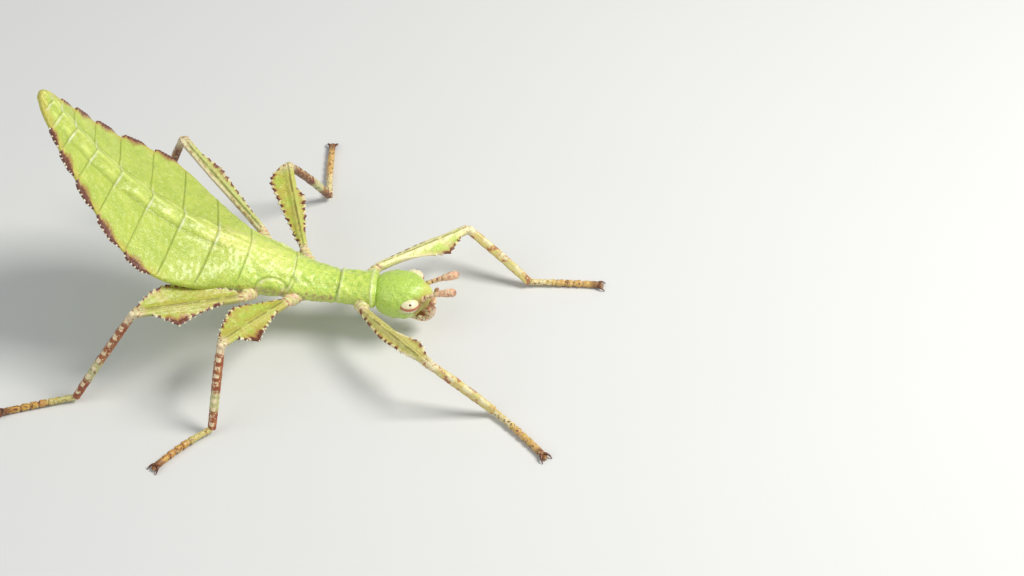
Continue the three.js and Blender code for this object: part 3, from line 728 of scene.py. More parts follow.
@dataclass(frozen=True)
class ShankFinish(Finish):
    """Slim shank: a cream knee, a ground colour with dots, a green band and dark keels."""

    name: str
    ground: Colour = (0.32, 0.075, 0.025)
    second: Colour = (0.48, 0.20, 0.06)
    dots: Colour = (0.92, 0.78, 0.50)
    spots: Colour = (0.16, 0.03, 0.015)
    knee: Colour = (0.80, 0.68, 0.42)
    banded: float = 1.0
    row: float = 11.0
    spot_from: float = 0.57
    band_green: Colour = (0.60, 0.62, 0.28)

    def mix_paint(self) -> bpy.types.Material:
        """Makes the node tree."""
        pot = Mixer(f"{self.name}_shank")
        share = pot.layer("share")
        keel = pot.layer("keel")
        grain = pot.noise(0.12, 4)
        skin = pot.clouded(self.ground, self.second, 0.8, 3, (0.42, 0.62))
        green = pot.times(pot.band(share, 0.66, 0.14), self.banded)
        skin = pot.blend(pot.times(green, 0.85), skin, self.band_green)
        skin = pot.blend(pot.times(pot.step(share, 0.17, 0.04), 0.85), skin, self.knee)
        skin = pot.freckled(skin, self.spots, 0.8, 2, (self.spot_from, self.spot_from + 0.08), 0.8)
        shaken = pot.math("ADD", share, pot.times(pot.noise(1.2, 1), 0.04))
        wave = pot.math("SINE", pot.times(shaken, 2 * math.pi * self.row))
        row = pot.times(pot.step(wave, -0.4, 0.4), pot.step(keel, 0.35, 0.8))
        row = pot.times(row, pot.step(pot.noise(0.5, 3), 0.34, 0.52))
        skin = pot.blend(pot.times(row, 0.9), skin, self.dots)
        skin = pot.pearled(skin, self.dots, 0.6, (0.26, 0.16), 0.6)
        normal = pot.bump(grain, 0.04)
        normal = pot.bump(pot.noise(0.25, 2), 0.05, normal)
        pot.dress(skin, 0.4, normal, Subsurface_Weight=0.12, Subsurface_Scale=0.0005,
                  Coat_Weight=0.12, Coat_Roughness=0.25)
        return pot.material


@dataclass(frozen=True)
class FootFinish(Finish):
    """Foot joints: a green first joint, then orange-brown with dark spots."""

    name: str
    first: Colour = (0.64, 0.58, 0.22)
    rest: Colour = (0.56, 0.28, 0.07)

    def mix_paint(self) -> bpy.types.Material:
        """Makes the node tree."""
        pot = Mixer(f"{self.name}_foot")
        share = pot.layer("share")
        skin = pot.blend(pot.step(share, 0.3, 0.5), self.first, self.rest)
        skin = pot.freckled(skin, OCHRE, 0.5, 3, (0.48, 0.6), 0.7)
        skin = pot.freckled(skin, MAROON, 0.3, 2, (0.56, 0.64), 0.85)
        skin = pot.blend(pot.times(pot.step(share, 0.86, 0.94), 0.7), skin, MAROON)
        skin = pot.pearled(skin, CREAM, 0.5, (0.26, 0.14), 0.6)
        normal = pot.bump(pot.noise(0.15, 4), 0.05)
        pot.dress(skin, 0.42, normal, Subsurface_Weight=0.1, Subsurface_Scale=0.0005,
                  Coat_Weight=0.08, Coat_Roughness=0.3)
        return pot.material


@dataclass(frozen=True)
class HipFinish(Finish):
    """Cream and pink skin of the hips, with painted highlight on the crests of its folds and red-brown
    spots in its folds.
    """

    ground: Colour = (0.70, 0.66, 0.26)
    pink: Colour = (0.74, 0.50, 0.30)

    def mix_paint(self) -> bpy.types.Material:
        """Makes the node tree."""
        pot = Mixer("hip_skin")
        share = pot.layer("share")
        skin = pot.clouded(self.ground, self.pink, 0.6, 3, (0.42, 0.62))
        wave = pot.math("SINE", pot.times(share, HIP_FOLDS))
        # Painted highlight: white on the crests of the folds
        skin = pot.blend(pot.times(pot.step(wave, 0.2, 0.9), 0.25), skin, WHITE)
        folds = pot.times(pot.step(wave, -0.6, -0.98), pot.step(pot.noise(0.5, 2), 0.4, 0.6))
        skin = pot.blend(pot.times(folds, 0.45), skin, RUST)
        skin = pot.freckled(skin, RUST, 0.3, 3, (0.58, 0.68), 0.7)
        normal = pot.bump(pot.noise(0.16, 4), 0.05)
        pot.dress(skin, 0.38, normal, Subsurface_Weight=0.2, Subsurface_Scale=0.0006,
                  Coat_Weight=0.1, Coat_Roughness=0.25)
        return pot.material


@dataclass(frozen=True)
class EyeFinish(Finish):
    """Glossy cream eye with a red-brown crescent along its lower edge and a dark dot."""

    cream: Colour = (0.88, 0.82, 0.52)
    warm: Colour = (0.84, 0.70, 0.42)
    stripe: Colour = (0.50, 0.15, 0.06)
    rim: Colour = (0.86, 0.80, 0.55)
    pupil: Colour = (0.02, 0.01, 0.008)

    def mix_paint(self) -> bpy.types.Material:
        """Makes the node tree."""
        pot = Mixer("eye_gloss")
        height = pot.layer("height")
        dot = pot.layer("dot")
        skin = pot.clouded(self.cream, self.warm, 0.35, 3, (0.44, 0.66))
        skin = pot.blend(pot.band(height, 0.1, 0.34), skin, self.stripe)
        skin = pot.blend(pot.step(height, -0.1, -0.18), skin, self.rim)
        skin = pot.blend(pot.step(dot, 0.17, 0.12), skin, self.pupil)
        facets = pot.step(pot.cells(0.055), 0.1, 0.5)
        pot.dress(skin, 0.16, pot.bump(facets, 0.006), Coat_Weight=0.7, Coat_Roughness=0.06,
                  Subsurface_Weight=0.1, Subsurface_Scale=0.0004)
        return pot.material


@dataclass(frozen=True)
class FeelerFinish(Finish):
    """Feelers and mouth pieces: a ground colour that turns pink, with dark rings and spots."""

    name: str
    ground: Colour = (0.84, 0.62, 0.34)
    club: Colour = (0.90, 0.52, 0.32)
    ring: Colour = (0.24, 0.05, 0.03)
    joints: float = 8.0
    spotted: float = 0.85

    def mix_paint(self) -> bpy.types.Material:
        """Makes the node tree."""
        pot = Mixer(f"{self.name}_skin")
        share = pot.layer("share")
        skin = pot.blend(pot.step(share, 0.35, 0.68), self.ground, self.club)
        skin = pot.freckled(skin, CREAM, 0.4, 3, (0.44, 0.6), 0.5)
        wave = pot.math("COSINE", pot.times(share, 2 * math.pi * self.joints))
        rings = pot.times(pot.step(wave, 0.35, 0.9), pot.band(share, 0.35, 0.45))
        skin = pot.blend(pot.times(rings, pot.step(pot.noise(0.5, 2), 0.4, 0.55), 0.8), skin, self.ring)
        skin = pot.freckled(skin, self.ring, 0.3, 3, (0.55, 0.63), self.spotted)
        skin = pot.blend(pot.times(pot.step(share, 0.93, 1.0), 0.6), skin, self.ring)
        normal = pot.bump(pot.noise(0.1, 3), 0.03)
        pot.dress(skin, 0.42, normal, Subsurface_Weight=0.2, Subsurface_Scale=0.0005)
        return pot.material


@dataclass(frozen=True)
class PlainHorn(Finish):
    """A small hard part of one tone, a little clouded: teeth, beads or claws."""

    name: str
    tone: Colour = WHITE
    shade: Colour = CREAM
    rough: float = 0.35

    def mix_paint(self) -> bpy.types.Material:
        """Makes the node tree."""
        pot = Mixer(self.name)
        skin = pot.clouded(self.tone, self.shade, 0.3, 3, (0.4, 0.62))
        skin = pot.blend(pot.step(pot.layer("share"), 0.12, 0.0), skin, RUST)
        pot.dress(skin, self.rough, pot.bump(pot.noise(0.1, 2), 0.02), Subsurface_Weight=0.15,
                  Subsurface_Scale=0.0003)
        return pot.material


# Trunk


class Spine:
    """The line of the back, walked from the waist both ways."""

    reach = (-1.4, 1.8)
    pace = 0.02

    def __init__(self) -> None:
        """Walks the line once and keeps it as a table."""
        self.at = np.cumsum([seam.run for seam in SEAMS])
        self.table = np.arange(self.reach[0], self.at[-1] + self.reach[1], self.pace)
        pitch = np.radians(self.value("pitch", self.table))
        x = -np.cumsum(np.cos(pitch)) * self.pace
        z = np.cumsum(np.sin(pitch)) * self.pace
        waist = self.at[WAIST_SEAM]
        self.x = x - np.interp(waist, self.table, x)
        self.z = z - np.interp(waist, self.table, z) + WAIST_HEIGHT

    def value(self, key: str, at: Grid) -> Grid:
        """A seam size anywhere along the back, smooth through the seams.

        Args:
            key: The size's name.
            at: Lengths along the back in mm.

        Returns:
            The size at each length.
        """
        at = np.asarray(at, float)
        sizes = np.array([getattr(seam, key) for seam in SEAMS], float)
        last = len(SEAMS) - 1
        i = np.clip(np.searchsorted(self.at, at, side="left") - 1, 0, last - 1)
        run = self.at[i + 1] - self.at[i]
        t = (at - self.at[i]) / run

        def slope(k: Grid) -> Grid:
            """Slope through a seam, times the run."""
            a, b = np.clip(k - 1, 0, last), np.clip(k + 1, 0, last)
            return (sizes[b] - sizes[a]) / (self.at[b] - self.at[a]) * run

        return (
            (2 * t**3 - 3 * t**2 + 1) * sizes[i] + (t**3 - 2 * t**2 + t) * slope(i)
            + (3 * t**2 - 2 * t**3) * sizes[i + 1] + (t**3 - t**2) * slope(i + 1)
        )

    def segment(self, at: Grid) -> tuple[Grid, Grid]:
        """The segment's number and the share of it passed, at each length."""
        i = np.clip(np.searchsorted(self.at, at, side="right") - 1, 0, len(SEAMS) - 2)
        return i, (at - self.at[i]) / (self.at[i + 1] - self.at[i])

    def ridge(self, at: Grid) -> Grid:
        """Points of the ridge."""
        x = np.interp(at, self.table, self.x)
        return np.stack([x, np.zeros_like(x), np.interp(at, self.table, self.z)], axis=-1)

    def up(self, at: Grid) -> Grid:
        """Unit normals of the back."""
        pitch = np.radians(self.value("pitch", at))
        return np.stack([np.sin(pitch), np.zeros_like(pitch), np.cos(pitch)], axis=-1)


@dataclass(frozen=True)
class Heights:
    """How high or deep each form of the trunk's relief is, in mm."""

    fold: float = 0.025
    groove: float = 0.1
    pillow: float = 0.1
    ridge: float = 0.17
    knob: float = 0.15
    crease: float = 0.09
    ribs: float = 0.012
    rims: float = 0.1
    pits: float = 0.07
    neck: float = 0.24
    flap: float = 0.1
    under_flap: float = 0.07
    line: float = 0.05
    scutum: float = 0.06
    plate: float = 0.12
    rim_line: float = 0.12
    side: float = 0.06
    warts: float = 0.16
    suture: float = 0.05
    brow: float = 0.07


@dataclass(frozen=True)
class Landmarks:
    """Where the forms of the trunk's relief lie, as lengths along the back in mm."""

    suture_from: float = 1.8
    brow: float = 2.45
    suture_to: float = 5.4
    brow_to: float = 6.0
    inner_pits: float = 7.9
    outer_pits: float = 8.9
    scutum: float = 14.2
    flap: float = 14.9
    plate: float = 16.9
    crease_from: float = 22.0
    crease_to: float = 48.0


@dataclass
class Trunk:
    """Head, thorax and abdomen as one skin.

    The spacings, reaches and half-widths are in mm. The shoulder, trail, keel, square, blunt and tuck
    are the shares and powers that shape a section and the head's outline.
    """

    spine: Spine
    rows_head: int = 110
    rows_rest: int = 560
    top_lanes: int = 108
    under_lanes: int = 50
    leaf_edge: float = 0.36
    head_half: float = 2.92
    head_taper: float = 0.42
    head_depth: float = 4.7
    head_crown: float = 3.2
    head_reach: float = 3.55
    front_reach: float = 4.1
    head_square: float = 2.6
    head_blunt: float = 0.45
    head_tuck: float = 0.45
    taper_over: Span = (-0.9, 2.3)
    collar_half: float = 2.4
    neck_groove: float = 0.32
    shoulder: float = 0.35
    trail: float = 1.6
    keel: float = 1.7
    notch_pitch: float = 0.42
    wart_pitch: float = 0.8
    edge_lanes: tuple[float, ...] = (0, 0.0015, 0.005, 0.01, 0.018, 0.03)
    lip: float = 0.012
    heights: Heights = Heights()
    marks: Landmarks = Landmarks()

    def lanes(self) -> tuple[Grid, Grid]:
        """Shares of the half-width round a ring, and whether each lane is on the top."""
        edge = np.array(self.edge_lanes)
        top = np.concatenate([edge - 1, np.linspace(-0.96, 0.96, self.top_lanes), (1 - edge)[::-1]])
        under = np.concatenate([
            1 - edge[1:], np.linspace(0.95, -0.95, self.under_lanes), (edge[1:] - 1)[::-1],
        ])
        lane = np.concatenate([top, under])
        return lane, np.concatenate([np.ones_like(top), np.zeros_like(under)])

    def half(self, at: Grid) -> Grid:
        """Half-width of the trunk with its neck, rims and edge lobes."""
        i, share = self.spine.segment(at)
        half = self.spine.value("half", at)
        bulge = self.head_bulge(at)
        head = self.head_half * bulge * mix(self.head_taper, 1.0, smooth(at, *self.taper_over))
        neck = self.spine.at[NECK_SEAM]
        collar = self.collar_half + 0.1 * hump(at, neck + 0.45, 0.25)
        half = np.where(at < neck + 1.2, mix(collar, half, smooth(at, neck + 0.4, neck + 1.2)), half)
        half = np.where(at < neck, head, half)
        half = half - self.neck_groove * hump(at, neck, 0.2) * (at >= neck)
        half = half + 0.08 * hump(at, self.spine.at[CHEST_SEAM] - 0.2, 0.2)
        lobe = np.array(LOBES)[i]
        swell = smooth(share, 0.1, 0.5) * (1 - 0.92 * smooth(share, 0.9, 1.0))
        notches = 0.05 * np.sin(at * 2 * math.pi / self.notch_pitch) * smooth(share, 0.3, 0.45)
        return half + lobe * swell + notches * (lobe > 0)

    def head_bulge(self, at: Grid) -> Grid:
        """Share of the head's full size at each length."""
        reach = np.where(at < self.head_crown, self.front_reach, self.head_reach)
        off = np.clip(np.abs(at - self.head_crown) / reach, 0, 0.9995)
        return (1 - off**self.head_square) ** self.head_blunt

    def surface(self, at: Grid, lane: Grid, top: Grid) -> Grid:
        """Points of the plain skin.

        Args:
            at: Lengths along the back, one a row.
            lane: Shares of the half-width, one a column.
            top: 1 for the upper side, 0 for the lower.

        Returns:
            Rows by columns by XYZ.
        """
        spine = self.spine
        names = ("drop", "depth", "round", "sweep", "band")
        size = {name: spine.value(name, at)[:, None] for name in names}
        half = self.half(at)[:, None]
        bulge = self.head_bulge(at)[:, None]
        on_head = (at < spine.at[NECK_SEAM])[:, None]
        deep = self.head_depth * bulge
        size["round"] = np.clip(np.where(on_head, 1.0, size["round"]), 0, 1)
        depth = np.where(on_head, deep, size["depth"])
        drop = np.where(on_head, deep / 2, size["drop"])
        crest = np.where(on_head, -self.head_tuck * (self.head_depth - deep), 0.0)
        sweep = np.where(on_head, 0.0, size["sweep"])
        q = lane[None]
        reach = np.abs(q)
        bow = np.sqrt(np.clip(1 - q * q, 0, 1))
        rise = self.shoulder * drop
        leaf = rise * smooth(reach * half / size["band"], 0, 1) + (drop - rise) * reach
        fall = size["round"] * drop * (1 - bow) + (1 - size["round"]) * leaf
        keel = np.cos(0.5 * math.pi * np.minimum(1, reach * half / (self.keel * size["band"]))) ** 2
        body = size["round"] * bow + (1 - size["round"]) * keel
        lip = self.leaf_edge * (np.clip(1 - reach, 0, None) / self.lip).clip(0, 1) ** 0.5
        thick = lip + (depth - self.leaf_edge) * body
        place = at[:, None] + sweep * reach**self.trail
        high = crest - fall - (self.leaf_edge - lip) / 2 - np.where(top[None] > 0, 0, thick)
        points = spine.ridge(place) + spine.up(place) * high[..., None]
        points[..., 1] += q * half
        return points

    def relief(self, at: Grid, lane: Grid, top: Grid) -> dict[str, Grid]:
        """Heights of folds, grooves, crest and plates, with the layers that colour them.

        Args:
            at: Lengths along the back, one a row.
            lane: Shares of the half-width, one a column.
            top: 1 for the upper side, 0 for the lower.

        Returns:
            The height in mm and the colour layers, each rows by columns.
        """
        spine, deep, mark = self.spine, self.heights, self.marks
        i, share = spine.segment(at)
        past = (at - spine.at[i])[:, None]
        left = (spine.at[i + 1] - at)[:, None]
        half = self.half(at)[:, None]
        a = at[:, None]
        lateral = lane[None] * half
        wide = np.abs(lateral)
        reach = np.abs(lane)[None]
        upper = top[None]
        girth = np.where(upper > 0, reach, 2 - reach)
        belly = smooth(a, spine.at[WAIST_SEAM] - 0.6, spine.at[WAIST_SEAM] + 0.2)
        seams = (belly + 0.7 * hump(a, spine.at[FLANK_SEAM], 0.5)) * smooth(half * (1 - reach), 0.02, 0.5)
        fold = seams * hump(left, 0.15, 0.1) * (i < len(TRUNK_NODES) - 1)[:, None]
        groove = seams * hump(past, 0.05, 0.09) * (i >= FLANK_SEAM)[:, None]
        pillow = belly * np.sin(math.pi * share)[:, None] * (1 - reach**4)
        top_line = belly * upper
        ridge = hump(wide, 0, 0.3) * top_line * (0.35 + 0.65 * smooth(share, 0.2, 0.95)[:, None])
        knob = hump(share, 0.3, 0.27)[:, None] * hump(wide, 0.85, 0.34) * top_line
        crease = top_line * smooth(a, mark.crease_from, mark.crease_from + 3.0) * hump(wide, 1.5, 0.14)
        crease = crease * smooth(a, mark.crease_to, mark.crease_to - 4.0)
        ribs = belly * smooth(half * (1 - reach), 0.1, 0.6) * smooth(wide, 0.4, 1.6)
        height = deep.fold * fold - deep.groove * groove + deep.pillow * pillow
        height = height + deep.ridge * ridge + deep.knob * knob - deep.crease * crease
        height = height + deep.ribs * ribs * np.sin(a * 2 * math.pi / self.wart_pitch + 2.6 * wide)

        # Thorax: rims of the pronotum, warts of the mesothorax, plates of the metathorax
        rims = hump(a, spine.at[NECK_SEAM] + 0.34, 0.14) + 0.8 * hump(a, spine.at[CHEST_SEAM] - 0.16, 0.12)
        pits = hump(a, mark.inner_pits, 0.35) * hump(wide, 0.75, 0.3)
        pits = pits + hump(a, mark.outer_pits, 0.3) * hump(wide, 1.2, 0.3)
        neck = hump(a, spine.at[CHEST_SEAM] + 0.1, 0.16)
        chest = (a > spine.at[CHEST_SEAM] + 0.3) * (a < spine.at[WAIST_SEAM] - 0.2)
        line = chest * hump(wide, 0, 0.12) * upper
        scutum = hump(np.hypot((a - mark.scutum) / 1.2, wide / 1.9), 1.0, 0.09) * upper
        scutum = scutum * (a > mark.scutum - 0.1)
        plate = np.hypot((a - mark.plate) / 1.7, (girth - 0.99) / 0.26)
        rim_line = hump(plate, 1.0, 0.1)
        bent = mark.flap + 3.0 * (girth - 0.75) ** 2
        flank = (smooth(girth, 0.6, 0.72), smooth(girth, 1.3, 1.1))
        flap = hump(a, bent, 0.12) * flank[0] * flank[1]
        under_flap = hump(a, bent - 0.22, 0.1) * flank[0] * flank[1]
        side = chest * hump(wide, 0.62 * half, 0.25) * upper
        beat = np.sin(a * 2 * math.pi / self.wart_pitch)
        warts = chest * (a < spine.at[FLANK_SEAM]) * smooth(beat, 0.2, 0.9) * hump(reach, 0.97, 0.05)
        height = height + deep.rims * rims * upper - deep.pits * pits * upper - deep.neck * neck
        height = height + deep.flap * flap - deep.line * line + deep.scutum * scutum
        height = height - deep.rim_line * rim_line - deep.side * side - deep.under_flap * under_flap
        height = height + deep.plate * smooth(1 - plate, 0, 0.3) + deep.warts * warts
        suture = (a < mark.suture_to) * hump(wide, 0, 0.1) * upper
        suture = suture * smooth(a, mark.suture_from, mark.suture_from + 0.8)
        brow = hump(np.hypot((a - mark.brow) / 1.55, (reach - 0.92) / 0.4), 1.0, 0.16)
        height = height - deep.suture * suture + deep.brow * brow * (a < mark.brow_to)

        # Colour layers, painted highlight and painted shade among them
        lobe = np.array(LOBES)[i]
        red = np.sin(math.pi * smooth(share, 0.1, 1.2)) * (lobe > 0) * np.minimum(1, lobe / 0.4)
        edge = half * (1 - reach)
        # Near the crest the folds take more painted highlight and the grooves less painted shade
        by_crest = hump(wide, 0.9, 0.9) * smooth(a, 19.5, 21.5) * upper
        layers = {
            "height": height,
            "edge": edge,
            "rim": np.where(red[:, None] > 0.02, edge / np.maximum(red, 0.02)[:, None], 9.0),
            # The fold layer is painted highlight on the raised folds near the crest, the collar rims and
            # the scutum, with a faint pale fold line elsewhere
            "fold": np.clip(fold * (0.03 + 0.8 * by_crest) + 0.45 * rims * upper + 0.3 * scutum, 0, 1),
            # The groove layer is painted shade in the seams, the crease, the plate's rim line, the neck,
            # the side troughs and under the flap
            "groove": np.clip(groove * (1 - 0.5 * by_crest) + 0.4 * crease + 0.7 * rim_line
                              + 0.5 * neck + 0.25 * side + 0.5 * under_flap, 0, 1),
            # The crest layer is partly the crest's own pale yellow and partly painted highlight on the
            # raised ridge and knobs
            "crest": np.clip(0.7 * ridge + knob, 0, 1),
            "spots": np.clip(warts + 0.6 * chest * hump(reach, 1.0, 0.025), 0, 1),
            "pale": np.clip(0.6 * flap + 0.7 * hump(plate, 0.82, 0.1), 0, 1),
            "lateral": wide,
            "along": a,
        }
        return {name: np.broadcast_to(values, height.shape) for name, values in layers.items()}

    def eye_marks(self, points: Grid) -> tuple[Grid, Grid]:
        """Marks round the eyes: the stripe to the feeler's root and the pale line under the eye.

        Args:
            points: Points of the skin, in mm.

        Returns:
            The strength of the stripe and of the pale line at each point.
        """
        place = points * np.array([1, 0, 1]) + np.abs(points) * np.array([0, 1, 0])
        start, end = np.array([18.5, 2.1]), np.array([19.8, 1.1])
        way = end - start
        share = np.clip(((place[..., :2] - start) @ way) / (way @ way), 0, 1)
        off = np.linalg.norm(place[..., :2] - start - share[..., None] * way, axis=-1)
        off = off + 9 * (place[..., 2] < 4.2)
        socket = np.array([1.18, 0.86, 0.82])
        round_eye = np.linalg.norm((place - np.array(EYE_PLACE)) / socket, axis=-1)
        below = smooth(EYE_PLACE[2] - place[..., 2], 0.1, 0.4)
        return hump(off, 0, 0.24), hump(round_eye, 1.22, 0.09) * below

    def stations(self) -> Grid:
        """Lengths along the back, closer together at the front of the head."""
        neck = self.spine.at[NECK_SEAM]
        front = self.head_crown - self.front_reach + 0.001
        head = front + (neck - front) * np.linspace(0, 1, self.rows_head) ** 1.6
        rest = np.linspace(neck, self.spine.at[-1] - 0.05, self.rows_rest)[1:]
        tail = self.spine.at[-1] + np.array([0.05, 0.12, 0.17, 0.2])
        return np.concatenate([head, rest, tail])

    def build(self, finish: TrunkFinish) -> bpy.types.Object:
        """Builds and dresses the skin.

        Args:
            finish: The finish of the skin.

        Returns:
            The skin's object.
        """
        at = self.stations()
        lane, top = self.lanes()
        points = self.surface(at, lane, top)
        end = np.clip((self.spine.at[-1] + 0.21 - at) / 0.35, 0, 1)
        closing = np.sqrt(1 - (1 - end) ** 2)[:, None, None]
        middle = points.mean(axis=1, keepdims=True)
        points = middle + (points - middle) * closing
        layers = self.relief(at, lane, top)
        height = layers.pop("height")
        edge = layers["edge"]
        layers["stripe"], line = self.eye_marks(points)
        layers["pale"] = np.maximum(layers["pale"], line)
        rough = mix(1.0, 2.2, (smooth(at, 6.5, 8.0) * smooth(at, 22.0, 19.0))[:, None])
        height = height + rough * (0.03 * ripple(points, 0.9, 11) + 0.02 * ripple(points, 0.4, 12))
        points = swollen(points, height * smooth(edge, -0.02, 0.3) * closing[..., 0])
        shell = Shell(*TRUNK_LAYERS)
        shell.add(points, **layers)
        return shell.piece("trunk_skin", "abdomen", finish, *TRUNK_NODES)

    def edge_points(self, at: Grid, side: Side) -> tuple[Grid, Grid]:
        """Points on the leaf edge and the way outward there.

        Args:
            at: Lengths along the back.
            side: The side of the body.

        Returns:
            The points and unit vectors that point away from the body.
        """
        lane = side.value * np.array([1.0, 0.9])
        pair = self.surface(at, lane, np.ones(2))
        return pair[:, 0], unit(pair[:, 0] - pair[:, 1])


def add_cone(shell: Shell, root: Grid, way: Grid, length: float, radius: float, sides: int = 7) -> None:
    """Adds one blunt cone to a shell.

    Args:
        shell: The shell that takes it.
        root: Its foot, in mm.
        way: Unit vector along it.
        length: Its length.
        radius: Its radius at the foot.
        sides: Points in a ring.
    """
    share = np.array([0, 0.35, 0.7, 0.92, 1.0])
    path = root + np.outer(share * length, way)
    radii = radius * np.array([1.0, 0.85, 0.55, 0.3, 0.04])
    look = np.array([0.3, 0.2, 1.0]) if abs(way[2]) < 0.9 else np.array([1.0, 0, 0])
    rings = tube(path, radii, radii, look, sides)
    shell.add(rings, share=share[:, None])


@dataclass
class EdgeTeeth:
    """White teeth along the dark lobes of the abdomen's edge."""

    trunk: Trunk
    spacing: float = 0.4
    length: float = 0.2
    radius: float = 0.14
    seed: int = 5

    def build(self, finish: PlainHorn) -> bpy.types.Object:
        """Builds all the teeth as one mesh."""
        draw = np.random.default_rng(self.seed)
        shell = Shell("share")
        spine = self.trunk.spine
        for index, lobe in enumerate(LOBES):
            if not lobe:
                continue
            start, end = spine.at[index], spine.at[index + 1]
            count = max(2, int((end - start) * 0.7 / self.spacing))
            at = np.linspace(mix(start, end, 0.25), mix(start, end, 0.95), count)
            for side in Side:
                shaken = at + draw.uniform(-0.08, 0.08, count)
                points, ways = self.trunk.edge_points(shaken, side)
                back = unit(spine.ridge(shaken + 0.5)[0] - spine.ridge(shaken)[0])
                for point, way in zip(points, ways):
                    size = draw.uniform(0.65, 1.15)
                    lean = unit(way + 0.35 * back)
                    add_cone(shell, point - 0.06 * way, lean, self.length * size, self.radius * size)
        return shell.piece("edge_teeth", "abdomen", finish)


# Head pieces


@dataclass
class Eye:
    """One eye, a long bead set in the side of the head."""

    side: Side
    half_sizes: tuple[float, float, float] = (1.1, 0.9, 0.76)
    out: float = 0.07
    turn: float = -14.0
    dot_at: tuple[float, float, float] = (0.05, -0.62, 0.78)

    def build(self, finish: EyeFinish) -> bpy.types.Object:
        """Builds and dresses the eye."""
        ball = unit_ball(48, 56, 0.02)
        sign = self.side.value
        turn = math.radians(self.turn * sign)
        spin = np.array([
            [math.cos(turn), -math.sin(turn), 0], [math.sin(turn), math.cos(turn), 0], [0, 0, 1],
        ])
        points = (ball * np.array(self.half_sizes)) @ spin.T
        dot = unit(np.array(self.dot_at) * np.array([1, -sign, 1]))
        along, out, up = EYE_PLACE
        shell = Shell("height", "dot")
        shell.add(points + np.array([along, sign * (out + self.out), up]), height=ball[..., 2],
                  dot=np.linalg.norm(ball - dot, axis=-1))
        name = f"eye_{self.side.name.lower()}"
        return shell.piece(f"{name}_bead", "eyes", finish, name)


@dataclass
class Feeler:
    """An antenna or palp: ringed joints along a bent line, thicker towards the tip."""

    kind: str
    side: Side
    slot: str
    root: Place
    elbow: Place
    tip: Place
    radius: float
    joints: int
    club: float

    def build(self, finish: FeelerFinish) -> bpy.types.Object:
        """Builds and dresses the feeler."""
        mirror = np.array([1, self.side.value, 1])
        share = end_shares(15 * self.joints)
        path = curve(*(np.array(place) * mirror for place in (self.root, self.elbow, self.tip)), share)
        length = length_of(path)
        swell = mix(1.0, self.club, smooth(share, 0.5, 0.85))
        cut = mix(0.2, 0.07, smooth(share, 0.45, 0.7))
        beads = 1 - cut * (0.5 + 0.5 * np.cos(2 * math.pi * share * self.joints)) ** 3
        scape = 1 + 0.3 * hump(share, 0.1, 0.12)
        radii = self.radius * swell * beads * scape
        radii = radii * rounded(share, length, 0.2, self.radius * self.club)
        rings = tube(path, radii, radii, np.array([0.1, 0.2, 1.0]), 18)
        shell = Shell("share")
        shell.add(swollen(rings, 0.02 * ripple(rings, 0.25, 3)), share=share[:, None])
        node = f"{self.kind}_{self.side.name.lower()}"
        return shell.piece(f"{node}_skin", self.slot, finish, node)


@dataclass
class Mouth:
    """Upper lip, two jaws and lower lip under the front of the head."""

    lip_at: tuple[float, float, float] = (20.1, 0, 5.0)
    lip_size: tuple[float, float, float] = (0.5, 0.72, 0.85)
    jaw_at: tuple[float, float, float] = (19.7, 0.5, 4.1)
    jaw_size: tuple[float, float, float] = (0.7, 0.48, 0.8)
    under_at: tuple[float, float, float] = (18.7, 0, 2.75)
    under_size: tuple[float, float, float] = (1.5, 0.9, 0.55)

    def ball(self, at: Grid, size: Grid, seed: int) -> Grid:
        """A lumpy ball of rings at its own place."""
        points = unit_ball(30, 40, 0.03) * size + at
        return swollen(points, 0.05 * ripple(points, 0.5, seed))

    def build(self, finish: FeelerFinish) -> bpy.types.Object:
        """Builds and dresses the mouth."""
        shell = Shell("share")
        jaw = np.array(self.jaw_at)
        parts = [
            (np.array(self.lip_at), self.lip_size), (np.array(self.under_at), self.under_size),
            (jaw, self.jaw_size), (jaw * np.array([1, -1, 1]), self.jaw_size),
        ]
        for seed, (at, size) in enumerate(parts):
            shell.add(self.ball(at, np.array(size), 20 + seed), share=0.5)
        return shell.piece("mouth_skin", "mouthparts", finish, "mouthparts")


# Legs


@dataclass(frozen=True)
class Blade:
    """One leaf-like lobe of a thigh: its width, and where it starts, peaks and ends.

    The rise and the fall are the powers that shape its two flanks.
    """

    width: float
    start: float
    peak: float
    end: float
    rise: float
    fall: float

    def reach(self, share: Grid) -> Grid:
        """How far the lobe stands out at each share of the thigh."""
        rising = np.clip((share - self.start) / (self.peak - self.start), 0, 1) ** self.rise
        falling = 1 - np.clip((share - self.peak) / (self.end - self.peak), 0, 1) ** self.fall
        return self.width * np.where(share < self.peak, rising, falling)


@dataclass(frozen=True)
class LegPaint:
    """The finishes of one leg."""

    thigh: ThighFinish
    shank: ShankFinish
    foot: FootFinish


